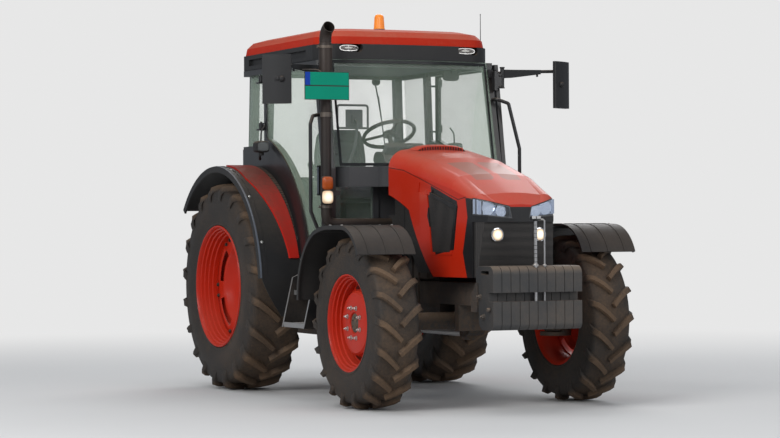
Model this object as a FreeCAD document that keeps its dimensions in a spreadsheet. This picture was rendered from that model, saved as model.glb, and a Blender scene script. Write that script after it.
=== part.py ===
"""Farm tractor: four-wheel drive, glazed cab, front suitcase weights and a rear three-point hitch.

Millimetres. X points forward, Y to the driver's left, Z up. Shapes are laid out from a datum on
the ground under the rear axle, and every sub-part's Placement then moves it so that the origin
lies under the middle of the tractor.
"""

import FreeCAD, Part
import math
import os
import Sketcher

Vector = FreeCAD.Vector
Rotation = FreeCAD.Rotation
Placement = FreeCAD.Placement
LEFT = Vector(0, 1, 0)
FORWARD = Vector(1, 0, 0)
UP = Vector(0, 0, 1)

# Driving dimensions
SIZES = {
    # clearances
    "running_gap": 6,
    "seat_gap": 0.3,
    "pin_gap": 0.05,
    # wheels
    "rear_tyre_radius": 775,
    "rear_tyre_width": 420,
    "rear_track_half": 795,
    "rear_rim_radius": 457,
    "rear_rim_width": 400,
    "rear_lug_height": 38,
    "rear_lug_width": 46,
    "rear_lug_count": 20,
    "rear_hub_inner": 600,
    "rear_hub_radius": 130,
    "rear_dish": 60,
    "rear_cap_radius": 78,
    "rear_cap_rise": 34,
    "front_tyre_radius": 577,
    "front_tyre_width": 320,
    "front_track_half": 796,
    "front_rim_radius": 330,
    "front_rim_width": 280,
    "front_lug_height": 30,
    "front_lug_width": 36,
    "front_lug_count": 18,
    "front_hub_inner": 772,
    "front_hub_radius": 95,
    "front_dish": 40,
    "front_cap_radius": 66,
    "front_cap_rise": 60,
    "rim_wall": 10,
    "rim_lip": 22,
    "rim_flange": 12,
    "rim_well": 46,
    "rim_step": 30,
    "rim_slot_count": 8,
    "rim_slot_length": 66,
    "rim_slot_width": 20,
    "rim_slot_gap": 3,
    "tyre_crown": 4,
    "spindle_radius": 40,
    "spindle_depth": 42,
    # rear axle and transmission case
    "case_half": 190,
    "case_back": 330,
    "case_front": 1120,
    "case_bottom": 430,
    "case_deck_rise": 105,
    "case_crown_rise": 345,
    "trumpet_radius": 88,
    "link_pivot_back": 130,
    "link_pivot_height": 500,
    "link_length": 800,
    "link_lift_length": 340,
    "link_droop": 12,
    "link_half_height": 34,
    "link_wall": 22,
    "link_eye_radius": 42,
    "link_pivot_spread": 280,
    "link_end_spread": 425,
    "lift_rod_rise": 560,
    "lift_pivot_back": 40,
    "lift_arm_spread": 346,
    "lift_arm_wall": 24,
    "rockshaft_radius": 30,
    "hitch_ball_bore": 14.35,
    "top_link_bore": 12.85,
    "pto_radius": 17.5,
    "pto_height": 620,
    "drawbar_drop": 35,
    "drawbar_reach": 900,
    "drawbar_half_width": 42,
    "drawbar_wall": 38,
    "drawbar_pin_radius": 16.5,
    # engine, frame and front axle
    "cab_front": 1400,
    "axle_lead": 850,
    "nose_reach": 940,
    "engine_bottom": 600,
    "engine_half": 240,
    "engine_rise": 400,
    "frame_rail_half": 190,
    "frame_rail_wall": 36,
    "frame_clearance": 53,
    "frame_rail_height": 150,
    "bolster_wall": 53,
    "carrier_depth": 85,
    "beam_radius": 60,
    "kingpin_half": 650,
    "kingpin_radius": 25,
    "knuckle_inner": 84,
    "knuckle_wall": 24,
    "axle_end_rise": 88,
    "steering_arm": 205,
    "steering_drop": 10,
    "ram_radius": 14,
    "ram_case_radius": 32,
    "drive_shaft_radius": 25,
    "drive_shaft_drop": 92,
    # front fenders
    "front_fender_clearance": 76,
    "front_fender_inner": 628,
    "front_fender_outer": 1046,
    "front_fender_wall": 12,
    # front weights
    "weight_count": 10,
    "weight_width": 62,
    "weight_pitch": 66,
    "weight_depth": 205,
    "weight_drop": 114,
    "weight_rise": 110,
    "sight_post_radius": 11,
    "sight_post_height": 738,
    # bonnet
    "bonnet_gap": 290,
    "bonnet_base": 880,
    "bonnet_wall": 12,
    "bonnet_hinge_drop": 42,
    "bonnet_hinge_half": 150,
    "grille_slats": 7,
    "fog_lamp_radius": 48,
    "fog_lamp_half": 158,
    # cab
    "cab_half": 690,
    "cab_rear": 230,
    "cab_lean": 135,
    "hinge_post": 265,
    "post_width": 60,
    "floor_rise": 100,
    "floor_wall": 50,
    "platform_gap": 70,
    "cowl_rise": 662,
    "cab_height": 1430,
    "belt_drop": 580,
    "glass_wall": 8,
    "door_wall": 30,
    "door_frame_width": 42,
    "door_arch_gap": 211,
    "door_hinge_radius": 8,
    "fender_gap": 110,
    "fender_wall": 14,
    "fender_outer": 1010,
    "arch_panel_depth": 240,
    "roof_base_rise": 110,
    "roof_cap_rise": 120,
    "beacon_rise": 148,
    "beacon_radius": 40,
    # fittings
    "exhaust_radius": 38,
    "exhaust_out": 735,
    "exhaust_rise": 1160,
    "mirror_height": 340,
    "mirror_width": 180,
    "mirror_reach": 1215,
    "rail_radius": 13,
    "step_drop": 415,
    "step_length": 390,
    "tank_width": 300,
    "seat_rise": 195,
    "seat_width": 480,
    "seat_back_height": 465,
    "steering_wheel_radius": 190,
    "steering_wheel_grip": 14,
    "steering_wheel_tilt": 28,
    "steering_column": 160,
}

doc = FreeCAD.newDocument("farm_tractor")
sheet = doc.addObject("Spreadsheet::Sheet", "Sizes")
for row, (alias, value) in enumerate(SIZES.items(), start=1):
    sheet.set("A%d" % row, alias)
    sheet.set("B%d" % row, str(value))
    sheet.setAlias("B%d" % row, alias)
doc.recompute()


class Size(float):
    """A number that remembers the sheet formula it came from."""

    def __new__(cls, value, formula):
        size = float.__new__(cls, value)
        size.formula = formula
        return size

    def __add__(self, other):
        return worked(float(self) + float(other), self, "+", other)

    def __radd__(self, other):
        return worked(float(other) + float(self), other, "+", self)

    def __sub__(self, other):
        return worked(float(self) - float(other), self, "-", other)

    def __rsub__(self, other):
        return worked(float(other) - float(self), other, "-", self)

    def __mul__(self, other):
        return worked(float(self) * float(other), self, "*", other)

    def __rmul__(self, other):
        return worked(float(other) * float(self), other, "*", self)

    def __truediv__(self, other):
        return worked(float(self) / float(other), self, "/", other)

    def __rtruediv__(self, other):
        return worked(float(other) / float(self), other, "/", self)

    def __neg__(self):
        return worked(-float(self), 0, "-", self)


def formula(value):
    if isinstance(value, Size):
        return value.formula
    return "%.9g" % value if value >= 0 else "(%.9g)" % value


def worked(value, left, sign, right):
    return Size(value, "(%s %s %s)" % (formula(left), sign, formula(right)))


def cosine(angle):
    return Size(math.cos(math.radians(angle)), "cos(%s * 1 deg)" % formula(angle))


def sine(angle):
    return Size(math.sin(math.radians(angle)), "sin(%s * 1 deg)" % formula(angle))


def root(value):
    return Size(math.sqrt(value), "sqrt(%s)" % formula(value))


class Sheet:
    """The driving dimensions as attributes."""

    def __getattr__(self, alias):
        value = sheet.get(alias)
        return Size(getattr(value, "Value", value), "Sizes." + alias)


S = Sheet()
sides = (("right", -1), ("left", 1))

# Sketch directions: across the tractor, along it, and on the flat
ACROSS = Rotation(FORWARD, 90)
ALONG = Rotation(Vector(1, 1, 1), 120)
FLAT = Rotation()


def make(kind, **sizes):
    """An object of the document, its sizes tied to the sheet."""
    item = doc.addObject(kind, kind.split("::")[1])
    for name, value in sizes.items():
        item.setExpression(name, formula(value))
    return item


def place(item, x, y, z, turn=FLAT):
    """Puts an object at a point that is tied to the sheet."""
    item.Placement = Placement(Vector(x, y, z), turn)
    for axis, value in zip("xyz", (x, y, z)):
        item.setExpression(".Placement.Base." + axis, formula(value))
    return item


def box(x0, x1, y0, y1, z0, z1):
    y0, y1 = sorted((y0, y1))
    return place(make("Part::Box", Length=x1 - x0, Width=y1 - y0, Height=z1 - z0), x0, y0, z0)


def drum(x, z, y0, y1, radius):
    """A cylinder across the tractor, from y0 to y1."""
    y0, y1 = sorted((y0, y1))
    return place(make("Part::Cylinder", Radius=radius, Height=y1 - y0), x, y0, z, Rotation(FORWARD, -90))


def pillar(x, y, z0, z1, radius):
    """An upright cylinder, from z0 to z1."""
    return place(make("Part::Cylinder", Radius=radius, Height=z1 - z0), x, y, z0)


def shaft(y, z, x0, x1, radius):
    """A cylinder along the tractor, from x0 to x1."""
    return place(make("Part::Cylinder", Radius=radius, Height=x1 - x0), x0, y, z, Rotation(LEFT, 90))


def rod(start, end, radius):
    """A cylinder between two points."""
    gaps = [b - a for a, b in zip(start, end)]
    length = root(sum(gap * gap for gap in gaps))
    lean = Rotation(UP, Vector(*gaps))
    return place(make("Part::Cylinder", Radius=radius, Height=length), *start, lean)


def ball(x, y, z, radius):
    return place(make("Part::Sphere", Radius=radius), x, y, z)


def join(*pieces):
    whole = make("Part::MultiFuse")
    whole.Shapes = list(pieces)
    whole.Refine = True
    return whole


def group(*pieces):
    whole = make("Part::Compound")
    whole.Links = list(pieces)
    return whole


def cut(piece, *tools):
    rest = make("Part::Cut")
    rest.Base = piece
    rest.Tool = tools[0] if len(tools) == 1 else join(*tools)
    rest.Refine = True
    return rest


def shared(*pieces):
    """What the pieces have in common."""
    overlap = make("Part::MultiCommon")
    overlap.Shapes = list(pieces)
    return overlap


def twin(piece):
    """The piece's mirror image on the tractor's other side."""
    image = make("Part::Mirroring")
    image.Source = piece
    image.Normal = LEFT
    return image


def both(piece):
    return group(piece, twin(piece))


def draw(sketch, points, bows=None):
    """Closes a line through the points. An edge with a bow is an arc that rises to its left."""
    bows = bows or {}
    count = len(points)
    edges, ends, radii = [], [], {}
    for index, (start, end) in enumerate(zip(points, points[1:] + points[:1])):
        p, q = Vector(*start, 0), Vector(*end, 0)
        bow = bows.get(index)
        if not bow:
            edges.append(Part.LineSegment(p, q))
            ends.append((1, 2))
            continue
        run, rise = end[0] - start[0], end[1] - start[1]
        chord = run * run + rise * rise
        radii[index] = (chord / 4 + bow * bow) / (2 * abs_size(bow))
        left = Vector(-(q.y - p.y), q.x - p.x, 0).normalize()
        middle = (p + q) / 2 + left * float(bow)
        if bow > 0:
            edges.append(Part.Arc(q, middle, p))
            ends.append((2, 1))
        else:
            edges.append(Part.Arc(p, middle, q))
            ends.append((1, 2))
    sketch.addGeometry(edges, False)
    rules, ties = [], []
    for index in range(count):
        after = (index + 1) % count
        rules.append(Sketcher.Constraint("Coincident", index, ends[index][1], after, ends[after][0]))
    for index, point in enumerate(points):
        for kind, value in zip(("DistanceX", "DistanceY"), point):
            ties.append((len(rules), value))
            rules.append(Sketcher.Constraint(kind, -1, 1, index, ends[index][0], float(value)))
    for index, radius in radii.items():
        ties.append((len(rules), radius))
        rules.append(Sketcher.Constraint("Radius", index, float(radius)))
    sketch.addConstraint(rules)
    for index, value in ties:
        sketch.setExpression("Constraints[%d]" % index, formula(value))
    return sketch


def abs_size(value):
    return value if value >= 0 else -value


def outline(points, bows, corner, turn):
    return place(draw(make("Sketcher::SketchObject"), points, bows), *corner, turn)


def extruded(points, bows, corner, turn, direction, length):
    base = outline(points, bows, corner, turn)
    piece = make("Part::Extrusion", LengthFwd=length)
    piece.Base = base
    piece.DirMode = "Custom"
    piece.Dir = direction
    piece.Solid = True
    return piece


def side_plate(points, y0, y1, bows=None):
    """An outline of (x, z) points, as thick as y0 to y1."""
    y0, y1 = sorted((y0, y1))
    return extruded(points, bows, (0, y0, 0), ACROSS, LEFT, y1 - y0)


def cross_plate(points, x0, x1, bows=None):
    """An outline of (y, z) points, as long as x0 to x1."""
    return extruded(points, bows, (x0, 0, 0), ALONG, FORWARD, x1 - x0)


def floor_plate(points, z0, z1, bows=None):
    """An outline of (x, y) points, as high as z0 to z1."""
    return extruded(points, bows, (0, 0, z0), FLAT, UP, z1 - z0)


def loft(sections, ruled=True):
    """A solid through outlines, each given as points, bows, corner and direction."""
    solid = make("Part::Loft")
    solid.Sections = [outline(*section) for section in sections]
    solid.Solid = True
    solid.Ruled = ruled
    return solid


def arch(radius, wall, y0, y1, start, end, z):
    """A curved sheet round a wheel under the datum, from angle start to end above the horizontal."""
    y0, y1 = sorted((y0, y1))
    corners = [(radius, y0), (radius + wall, y0), (radius + wall, y1), (radius, y1)]
    section = outline(corners, None, (0, 0, z), Rotation(-LEFT, float(start)))
    sheet_metal = make("Part::Revolution", Angle=end - start)
    sheet_metal.Source = section
    sheet_metal.Axis = -LEFT
    sheet_metal.Base = Vector(0, 0, z)
    sheet_metal.setExpression(".Base.z", formula(z))
    sheet_metal.Solid = True
    return sheet_metal


def tube(points, radius, bend):
    """A round tube through points, with an arc of the bend's radius at each corner."""
    corners = [Vector(*point) for point in points]
    path = []
    here = corners[0]
    for before, corner, after in zip(corners, corners[1:], corners[2:]):
        to_before = (before - corner).normalize()
        to_after = (after - corner).normalize()
        half_turn = to_before.getAngle(to_after) / 2
        reach = float(bend) / math.tan(half_turn)
        start = corner + to_before * reach
        end = corner + to_after * reach
        inwards = (to_before + to_after).normalize()
        middle = corner + inwards * float(bend) * (1 / math.sin(half_turn) - 1)
        path.append(Part.LineSegment(here, start).toShape())
        path.append(Part.Arc(start, middle, end).toShape())
        here = end
    path.append(Part.LineSegment(here, corners[-1]).toShape())
    ring = Part.Wire(Part.makeCircle(radius, corners[0], corners[1] - corners[0]))
    item = make("Part::Feature")
    item.Shape = Part.Wire(path).makePipeShell([ring], True, True)
    return item


class Body:
    """A PartDesign body whose sketches lie on its own origin planes."""

    def __init__(self, base=None):
        self.item = doc.addObject("PartDesign::Body", "Body")
        if base:
            self.item.BaseFeature = base

    def origin(self, role):
        return next(item for item in self.item.Origin.OriginFeatures if item.Role == role)

    def attach(self, role, offset, spin):
        """An empty sketch on a plane, moved out by offset after a turn of spin about its y axis."""
        sketch = self.item.newObject("Sketcher::SketchObject", "Sketch")
        sketch.AttachmentSupport = (self.origin(role), [""])
        sketch.MapMode = "FlatFace"
        sketch.AttachmentOffset = Placement(Vector(), Rotation(LEFT, float(spin)))
        if spin:
            sketch.setExpression(".AttachmentOffset.Rotation.Angle", formula(spin) + " * 1 deg")
        sketch.setExpression(".AttachmentOffset.Base.x", formula(offset * sine(spin)))
        sketch.setExpression(".AttachmentOffset.Base.z", formula(offset * cosine(spin)))
        return sketch

    def sketch(self, role, points, offset=0, bows=None, spin=0):
        return draw(self.attach(role, offset, spin), points, bows)

    def circle(self, role, radius, offset=0, out=0):
        """A circle on a plane, moved along the plane's first axis by out."""
        sketch = self.attach(role, offset, 0)
        sketch.addGeometry(Part.Circle(Vector(out, 0, 0), UP, float(radius)), False)
        sketch.addConstraint([Sketcher.Constraint("DistanceX", -1, 1, 0, 3, float(out)),
                              Sketcher.Constraint("PointOnObject", 0, 3, -1),
                              Sketcher.Constraint("Radius", 0, float(radius))])
        sketch.setExpression("Constraints[0]", formula(out))
        sketch.setExpression("Constraints[2]", formula(radius))
        return sketch

    def feature(self, kind, profile, **sizes):
        item = self.item.newObject("PartDesign::" + kind, kind)
        item.Profile = profile
        for name, value in sizes.items():
            item.setExpression(name, formula(value))
        return item

    def turn(self, profile, kind="Revolution"):
        item = self.feature(kind, profile)
        item.ReferenceAxis = (profile, ["V_Axis"])
        item.Angle = 360
        return item

    def pattern(self, originals, axis, count, **sizes):
        """Copies features evenly round an axis, or along it when a length is given."""
        kind = "LinearPattern" if sizes else "PolarPattern"
        item = self.item.newObject("PartDesign::" + kind, kind)
        item.Originals = originals
        item.setExpression("Occurrences", formula(count))
        if sizes:
            item.Direction = (self.origin(axis), [""])
            item.setExpression("Length", formula(sizes["Length"]))
        else:
            item.Axis = (self.origin(axis), [""])
            item.Angle = 360
        self.item.Tip = item
        return item


# Places worked out from the driving dimensions
rear_axle_height = S.rear_tyre_radius
front_axle_height = S.front_tyre_radius
axle_x = S.cab_front + S.axle_lead
front_reach = axle_x + S.nose_reach
link_droop_run = cosine(S.link_droop)
link_droop_fall = sine(S.link_droop)
rear_reach = S.link_pivot_back + S.link_length * link_droop_run + S.link_eye_radius
datum_shift = (rear_reach - front_reach) / 2

parts = {}
READY = ("PartDesign::Body", "Part::MultiFuse", "Part::Cut", "Part::MultiCommon", "Part::Compound")


def keep(label, item, x=0, y=0, z=0, turn=FLAT):
    """Names a sub-part and moves it from the rear axle's datum to the tractor's middle."""
    if item.TypeId not in READY:
        item = group(item)
    item.Label = label
    parts[label] = place(item, x + datum_shift, y, z, turn)

# Wheels: each tyre is a many-sided carcass with two staggered rows of lugs

TYRE_TURN = Rotation(FORWARD, 90)
WHEELS = [
    # name, x, axle height, side, prefix of its sizes
    ("rear_right", 0, rear_axle_height, -1, "rear"),
    ("rear_left", 0, rear_axle_height, 1, "rear"),
    ("front_right", axle_x, front_axle_height, -1, "front"),
    ("front_left", axle_x, front_axle_height, 1, "front"),
]
lug_root = 52
lug_overlap = 8
lug_slant = 0.82
bead_clearance = 2


def lathe(stations, count):
    """A many-sided drum along z through stations of height and radius over the flats."""
    rings = []
    for z, radius in stations:
        ring = make("Part::RegularPolygon", Polygon=count, Circumradius=radius / cosine(180 / count))
        rings.append(place(ring, 0, 0, z))
    solid = make("Part::Loft")
    solid.Sections = rings
    solid.Solid = True
    solid.Ruled = True
    return solid


def tyre(size):
    half = size("tyre_width") / 2
    radius = size("tyre_radius")
    rim = size("rim_radius")
    count = size("lug_count")
    bead = size("rim_width") / 2 - S.rim_flange - bead_clearance
    seat = rim - S.rim_lip + S.seat_gap
    run = half * lug_slant
    thick = size("lug_width") * root(run * run + half * half) / half
    reach = (run + thick) / 2
    top = root(radius * radius - reach * reach)
    edge = radius - size("lug_height") - S.tyre_crown
    middle = rim + (radius - rim) * 0.45
    sides_count = count * 2
    carcass = cut(
        lathe([(-bead, rim + 4), (-half, middle), (-half * 0.82, edge), (half * 0.82, edge), (half, middle),
               (bead, rim + 4)], sides_count),
        lathe([(-half, seat), (half, seat)], sides_count),
    )
    body = Body(carcass)
    for hand in (1, -1):
        footprint = [
            (-run / 2 - thick / 2, -lug_overlap * hand), (-run / 2 + thick / 2, -lug_overlap * hand),
            (run / 2 + thick / 2, half * hand), (run / 2 - thick / 2, half * hand),
        ]
        spin = 180 / count if hand < 0 else 0
        lug = body.feature("Pad", body.sketch("YZ_Plane", footprint, top, spin=spin),
                           Length=top - edge + lug_root)
        lug.Reversed = True
        body.pattern([lug], "Z_Axis", count)
    return body.item


def rim(size):
    """Stepped barrel, dished disc with slots, hub and centre cap; its local z points outwards."""
    outer = size("rim_radius")
    half = size("rim_width") / 2
    seat = outer - S.rim_lip
    well = seat - S.rim_well
    wall = S.rim_wall
    near = half - S.rim_flange
    hub = size("hub_radius")
    dish = size("dish")
    inner = well - wall
    step = S.rim_step
    body = Body()
    body.turn(body.sketch("XZ_Plane", [
        (outer, half), (outer, near), (seat, near), (seat, half * 0.62), (well, half * 0.42),
        (well, -half * 0.42), (seat, -half * 0.62), (seat, -near), (outer, -near), (outer, -half),
        (seat - wall, -half), (seat - wall, -half * 0.6), (inner, -half * 0.38), (inner, half * 0.38),
        (seat - wall, half * 0.6), (seat - wall, half),
    ]))
    body.turn(body.sketch("XZ_Plane", [
        (inner + wall / 2, dish), (inner + wall / 2, dish + wall), (inner - step, dish + wall),
        (hub + step, dish - step + wall), (0, dish - step + wall), (0, dish - step),
        (hub + step, dish - step), (inner - step, dish),
    ]))
    hub_start = size("hub_inner") - size("track_half")
    cap = size("cap_radius")
    cap_face = dish - step + wall + size("cap_rise")
    body.turn(body.sketch("XZ_Plane", [
        (0, hub_start), (hub, hub_start), (hub, dish - step / 2), (cap, dish - step / 2), (cap, cap_face - wall),
        (cap - wall, cap_face), (0, cap_face),
    ]))
    length = S.rim_slot_length
    width = S.rim_slot_width
    low = inner - S.rim_slot_width - S.rim_slot_gap
    slot = body.feature("Pocket", body.sketch("XY_Plane", [
        (low, -length / 2), (low + width, -length / 2), (low + width, length / 2), (low, length / 2),
    ], half))
    slot.Type = 1
    body.pattern([slot], "Z_Axis", S.rim_slot_count)
    bore = S.spindle_radius + S.pin_gap
    body.turn(body.sketch("XZ_Plane", [
        (0, hub_start - wall), (bore, hub_start - wall), (bore, hub_start + S.spindle_depth + 3),
        (0, hub_start + S.spindle_depth + 3),
    ]), "Groove")
    return body.item


for name, x, height, side, prefix in WHEELS:
    def size(word, prefix=prefix):
        return getattr(S, prefix + "_" + word)
    y = side * size("track_half")
    keep("tyre_" + name, tyre(size), x, y, height, TYRE_TURN)
    keep("rim_" + name, rim(size), x, y, height, Rotation(FORWARD, -side * 90))

# Rear axle case with its trumpets, rockshaft housing, link pins and cab mounts

case_deck = rear_axle_height + S.case_deck_rise
case_crown = rear_axle_height + S.case_crown_rise
floor_z = case_deck + S.floor_rise
floor_under = floor_z - S.floor_wall
platform_z = case_crown + S.platform_gap
rear_face = -S.case_back
trumpet_end = S.rear_hub_inner - 2
link_x = -S.link_pivot_back
lift_x = link_x - S.lift_pivot_back
lift_z = S.link_pivot_height + S.lift_rod_rise
link_pin_radius = 12
joint_pin_radius = 11

case = side_plate([
    (rear_face, S.case_bottom + 40), (-200, S.case_bottom), (700, S.case_bottom),
    (S.case_front, S.case_bottom + 40), (S.case_front, case_deck), (330, case_deck + 20),
    (60, case_crown), (-200, case_crown), (rear_face, case_crown - 190),
], -S.case_half, S.case_half, bows={5: -18, 7: 16})
case_pieces = [
    case,
    drum(0, rear_axle_height, -trumpet_end, trumpet_end, S.trumpet_radius),
    drum(lift_x, lift_z, -S.lift_arm_spread - 14, S.lift_arm_spread + 14, S.rockshaft_radius),
    drum(lift_x, lift_z, -300, 300, 62),
    box(1000, 1080, -180, 180, case_deck - 10, floor_under - S.seat_gap),
]
for _, side in sides:
    case_pieces += [
        drum(0, rear_axle_height, side * (trumpet_end - 38), side * trumpet_end, S.trumpet_radius + 34),
        drum(0, rear_axle_height, side * (S.case_half - 20), side * (S.case_half + 110), 150),
        drum(0, rear_axle_height, side * (trumpet_end - 8), side * (S.rear_hub_inner + S.spindle_depth),
             S.spindle_radius),
        side_plate([(link_x + 70, S.link_pivot_height + 120), (link_x - 50, S.link_pivot_height + 60),
                    (link_x - 50, S.link_pivot_height - 40), (link_x + 50, S.link_pivot_height - 50),
                    (link_x + 130, S.link_pivot_height + 20)],
                   side * (S.case_half - 10), side * (S.link_pivot_spread - 28), bows={1: -16}),
        drum(link_x, S.link_pivot_height, side * (S.case_half + 50), side * (S.link_pivot_spread + 16),
             link_pin_radius),
        pillar(0, side * 440, rear_axle_height + 45, platform_z - S.seat_gap, 36),
    ]
keep("rear_axle_case", join(*case_pieces))

keep("pto_shaft", join(
    shaft(0, S.pto_height, rear_face - 95, rear_face - S.seat_gap, S.pto_radius),
    shaft(0, S.pto_height, rear_face - 18, rear_face - S.seat_gap, 60),
))

drawbar_z = S.case_bottom - S.drawbar_drop
drawbar_low = drawbar_z - S.drawbar_wall / 2
drawbar_high = drawbar_z + S.drawbar_wall / 2
drawbar = Body()
drawbar.feature("Pad", drawbar.sketch("XY_Plane", [
    (-S.drawbar_reach, -S.drawbar_half_width), (-40, -S.drawbar_half_width),
    (-40, S.drawbar_half_width), (-S.drawbar_reach, S.drawbar_half_width),
], drawbar_low, bows={3: -12}), Length=S.drawbar_wall)
drawbar.feature("Pad", drawbar.sketch("XY_Plane", [(-260, -60), (-140, -60), (-140, 60), (-260, 60)],
                                      drawbar_high - 1), Length=S.case_bottom - S.seat_gap - drawbar_high + 1)
pin_hole = drawbar.feature("Pocket", drawbar.circle("XY_Plane", S.drawbar_pin_radius, drawbar_high,
                                                    50 - S.drawbar_reach))
pin_hole.Type = 1
keep("drawbar", drawbar.item)

# Top link, pinned in its bracket and pointing back

foot_x = rear_face - 55
foot_z = case_crown - 260
tip_x = foot_x - 520
tip_z = foot_z + 200
top_link_bar = cut(
    join(
        rod((foot_x, 0, foot_z), (tip_x, 0, tip_z), 19),
        rod((foot_x - 156, 0, foot_z + 60), (foot_x - 364, 0, foot_z + 140), 27),
        drum(foot_x, foot_z, -25, 25, 34),
        drum(tip_x, tip_z, -25, 25, 34),
    ),
    drum(tip_x, tip_z, -30, 30, S.top_link_bore),
)
bracket_face = rear_face - S.seat_gap
bracket = cut(
    side_plate([(bracket_face, foot_z - 70), (bracket_face, foot_z + 60), (foot_x, foot_z + 45),
                (foot_x - 35, foot_z + 20), (foot_x - 35, foot_z - 20), (foot_x, foot_z - 45)], -45, 45),
    box(foot_x - 65, rear_face - 15, -25.5, 25.5, foot_z - 80, foot_z + 70),
)
keep("top_link", join(top_link_bar, bracket, drum(foot_x, foot_z, -40, 40, 11)))

# Three-point hitch: lift arms, lift rods and lower links move as a parallelogram


def along(x, z, length):
    return x - length * link_droop_run, z - length * link_droop_fall


joint_x, joint_z = along(link_x, S.link_pivot_height, S.link_lift_length)
arm_x, arm_z = along(lift_x, lift_z, S.link_lift_length)
end_x, end_z = along(link_x, S.link_pivot_height, S.link_length)
joint_y = S.link_pivot_spread + (S.link_end_spread - S.link_pivot_spread) * S.link_lift_length / S.link_length
arm_y = S.lift_arm_spread
arm_half = S.lift_arm_wall / 2
rod_y = arm_y + 34

lift_arm = cut(
    join(
        side_plate([(lift_x + 20, lift_z + 55), (arm_x - 5, arm_z + 32), (arm_x - 5, arm_z - 32),
                    (lift_x + 20, lift_z - 55)], -arm_y - arm_half, -arm_y + arm_half, bows={0: 24, 2: -18}),
        drum(lift_x, lift_z, -arm_y - 20, -arm_y + 20, 66),
        drum(arm_x, arm_z, -arm_y - 14, -arm_y + 14, 32),
        drum(arm_x, arm_z, -rod_y - 18, -arm_y, joint_pin_radius),
    ),
    drum(lift_x, lift_z, -arm_y - 30, -arm_y + 30, S.rockshaft_radius + S.pin_gap),
)
keep("lift_arms", both(lift_arm))

lift_rod = cut(
    join(
        rod((joint_x, -rod_y, joint_z), (arm_x, -rod_y, arm_z), 15),
        drum(joint_x, joint_z, -rod_y - 12, -rod_y + 12, 30),
        drum(arm_x, arm_z, -rod_y - 12, -rod_y + 12, 30),
    ),
    drum(joint_x, joint_z, -rod_y - 20, -rod_y + 20, joint_pin_radius + S.pin_gap),
    drum(arm_x, arm_z, -rod_y - 20, -rod_y + 20, joint_pin_radius + S.pin_gap),
)
keep("lift_rods", both(lift_rod))

blade_half = S.link_wall / 2
blade = shared(
    floor_plate([(link_x, -S.link_pivot_spread - blade_half), (link_x, -S.link_pivot_spread + blade_half),
                 (end_x, -S.link_end_spread + blade_half), (end_x, -S.link_end_spread - blade_half)], 0, 1500),
    side_plate([(link_x, S.link_pivot_height + S.link_half_height), (link_x, S.link_pivot_height - S.link_half_height),
                (end_x, end_z - S.link_half_height), (end_x, end_z + S.link_half_height)], -1000, 0),
)
link = cut(
    join(
        blade,
        drum(link_x, S.link_pivot_height, -S.link_pivot_spread - 14, -S.link_pivot_spread + 14, 36),
        drum(end_x, end_z, -S.link_end_spread - 22, -S.link_end_spread + 22, S.link_eye_radius),
        drum(joint_x, joint_z, -rod_y - 18, -joint_y, joint_pin_radius),
    ),
    drum(link_x, S.link_pivot_height, -S.link_pivot_spread - 30, -S.link_pivot_spread + 30,
         link_pin_radius + S.pin_gap),
    drum(end_x, end_z, -S.link_end_spread - 30, -S.link_end_spread + 30, S.hitch_ball_bore),
)
keep("lower_links", both(link))

# Engine, chassis frame, front axle beam and drive shaft

carrier_front = front_reach - S.weight_depth
carrier_back = carrier_front - S.carrier_depth
rail_front = carrier_back - 40
rail_bottom = front_axle_height + S.beam_radius + S.frame_clearance
rail_top = rail_bottom + S.frame_rail_height
rail_inner = S.frame_rail_half - S.frame_rail_wall
engine_rear = S.case_front + S.seat_gap
engine_front = axle_x - 200
bell_front = S.cab_front + 20
crank_top = S.engine_bottom + 300
head_top = crank_top + S.engine_rise

keep("engine_block", join(
    box(engine_rear, bell_front, -rail_inner + 4, rail_inner - 4, S.engine_bottom, crank_top - 20),
    side_plate([(bell_front, S.engine_bottom), (bell_front + 380, S.engine_bottom),
                (bell_front + 480, S.engine_bottom + 60), (engine_front, S.engine_bottom + 60),
                (engine_front, crank_top), (bell_front, crank_top)], -rail_inner + 4, rail_inner - 4),
    side_plate([(bell_front, crank_top - 40), (engine_front, crank_top - 40), (engine_front, head_top - 100),
                (engine_front - 60, head_top), (bell_front, head_top)], -S.engine_half, S.engine_half,
               bows={2: -14}),
))

hook_top = rail_top + 10
frame_pieces = [
    box(axle_x + 115, axle_x + 175, -S.frame_rail_half, S.frame_rail_half, front_axle_height - 65, rail_top),
    box(axle_x - 115 - S.bolster_wall, axle_x - 115, -S.frame_rail_half, S.frame_rail_half,
        front_axle_height - 65, rail_top),
    box(rail_front, carrier_back, -S.frame_rail_half, S.frame_rail_half, rail_bottom - 50, rail_top),
    box(carrier_back, carrier_front, -340, 340, rail_bottom - 30, rail_bottom + 40),
    side_plate([(carrier_back, rail_bottom + 40), (carrier_front, rail_bottom + 40), (carrier_front, hook_top),
                (carrier_front - 35, hook_top), (carrier_back, hook_top - 60)], -335, 335, bows={3: 10}),
]
for _, side in sides:
    frame_pieces.append(box(1200, rail_front, side * rail_inner, side * S.frame_rail_half, rail_bottom, rail_top))
trunnion_radius = 40
keep("chassis_frame", cut(
    join(*frame_pieces),
    shaft(0, front_axle_height, axle_x - 300, axle_x + 300, trunnion_radius + S.seat_gap),
))

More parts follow.
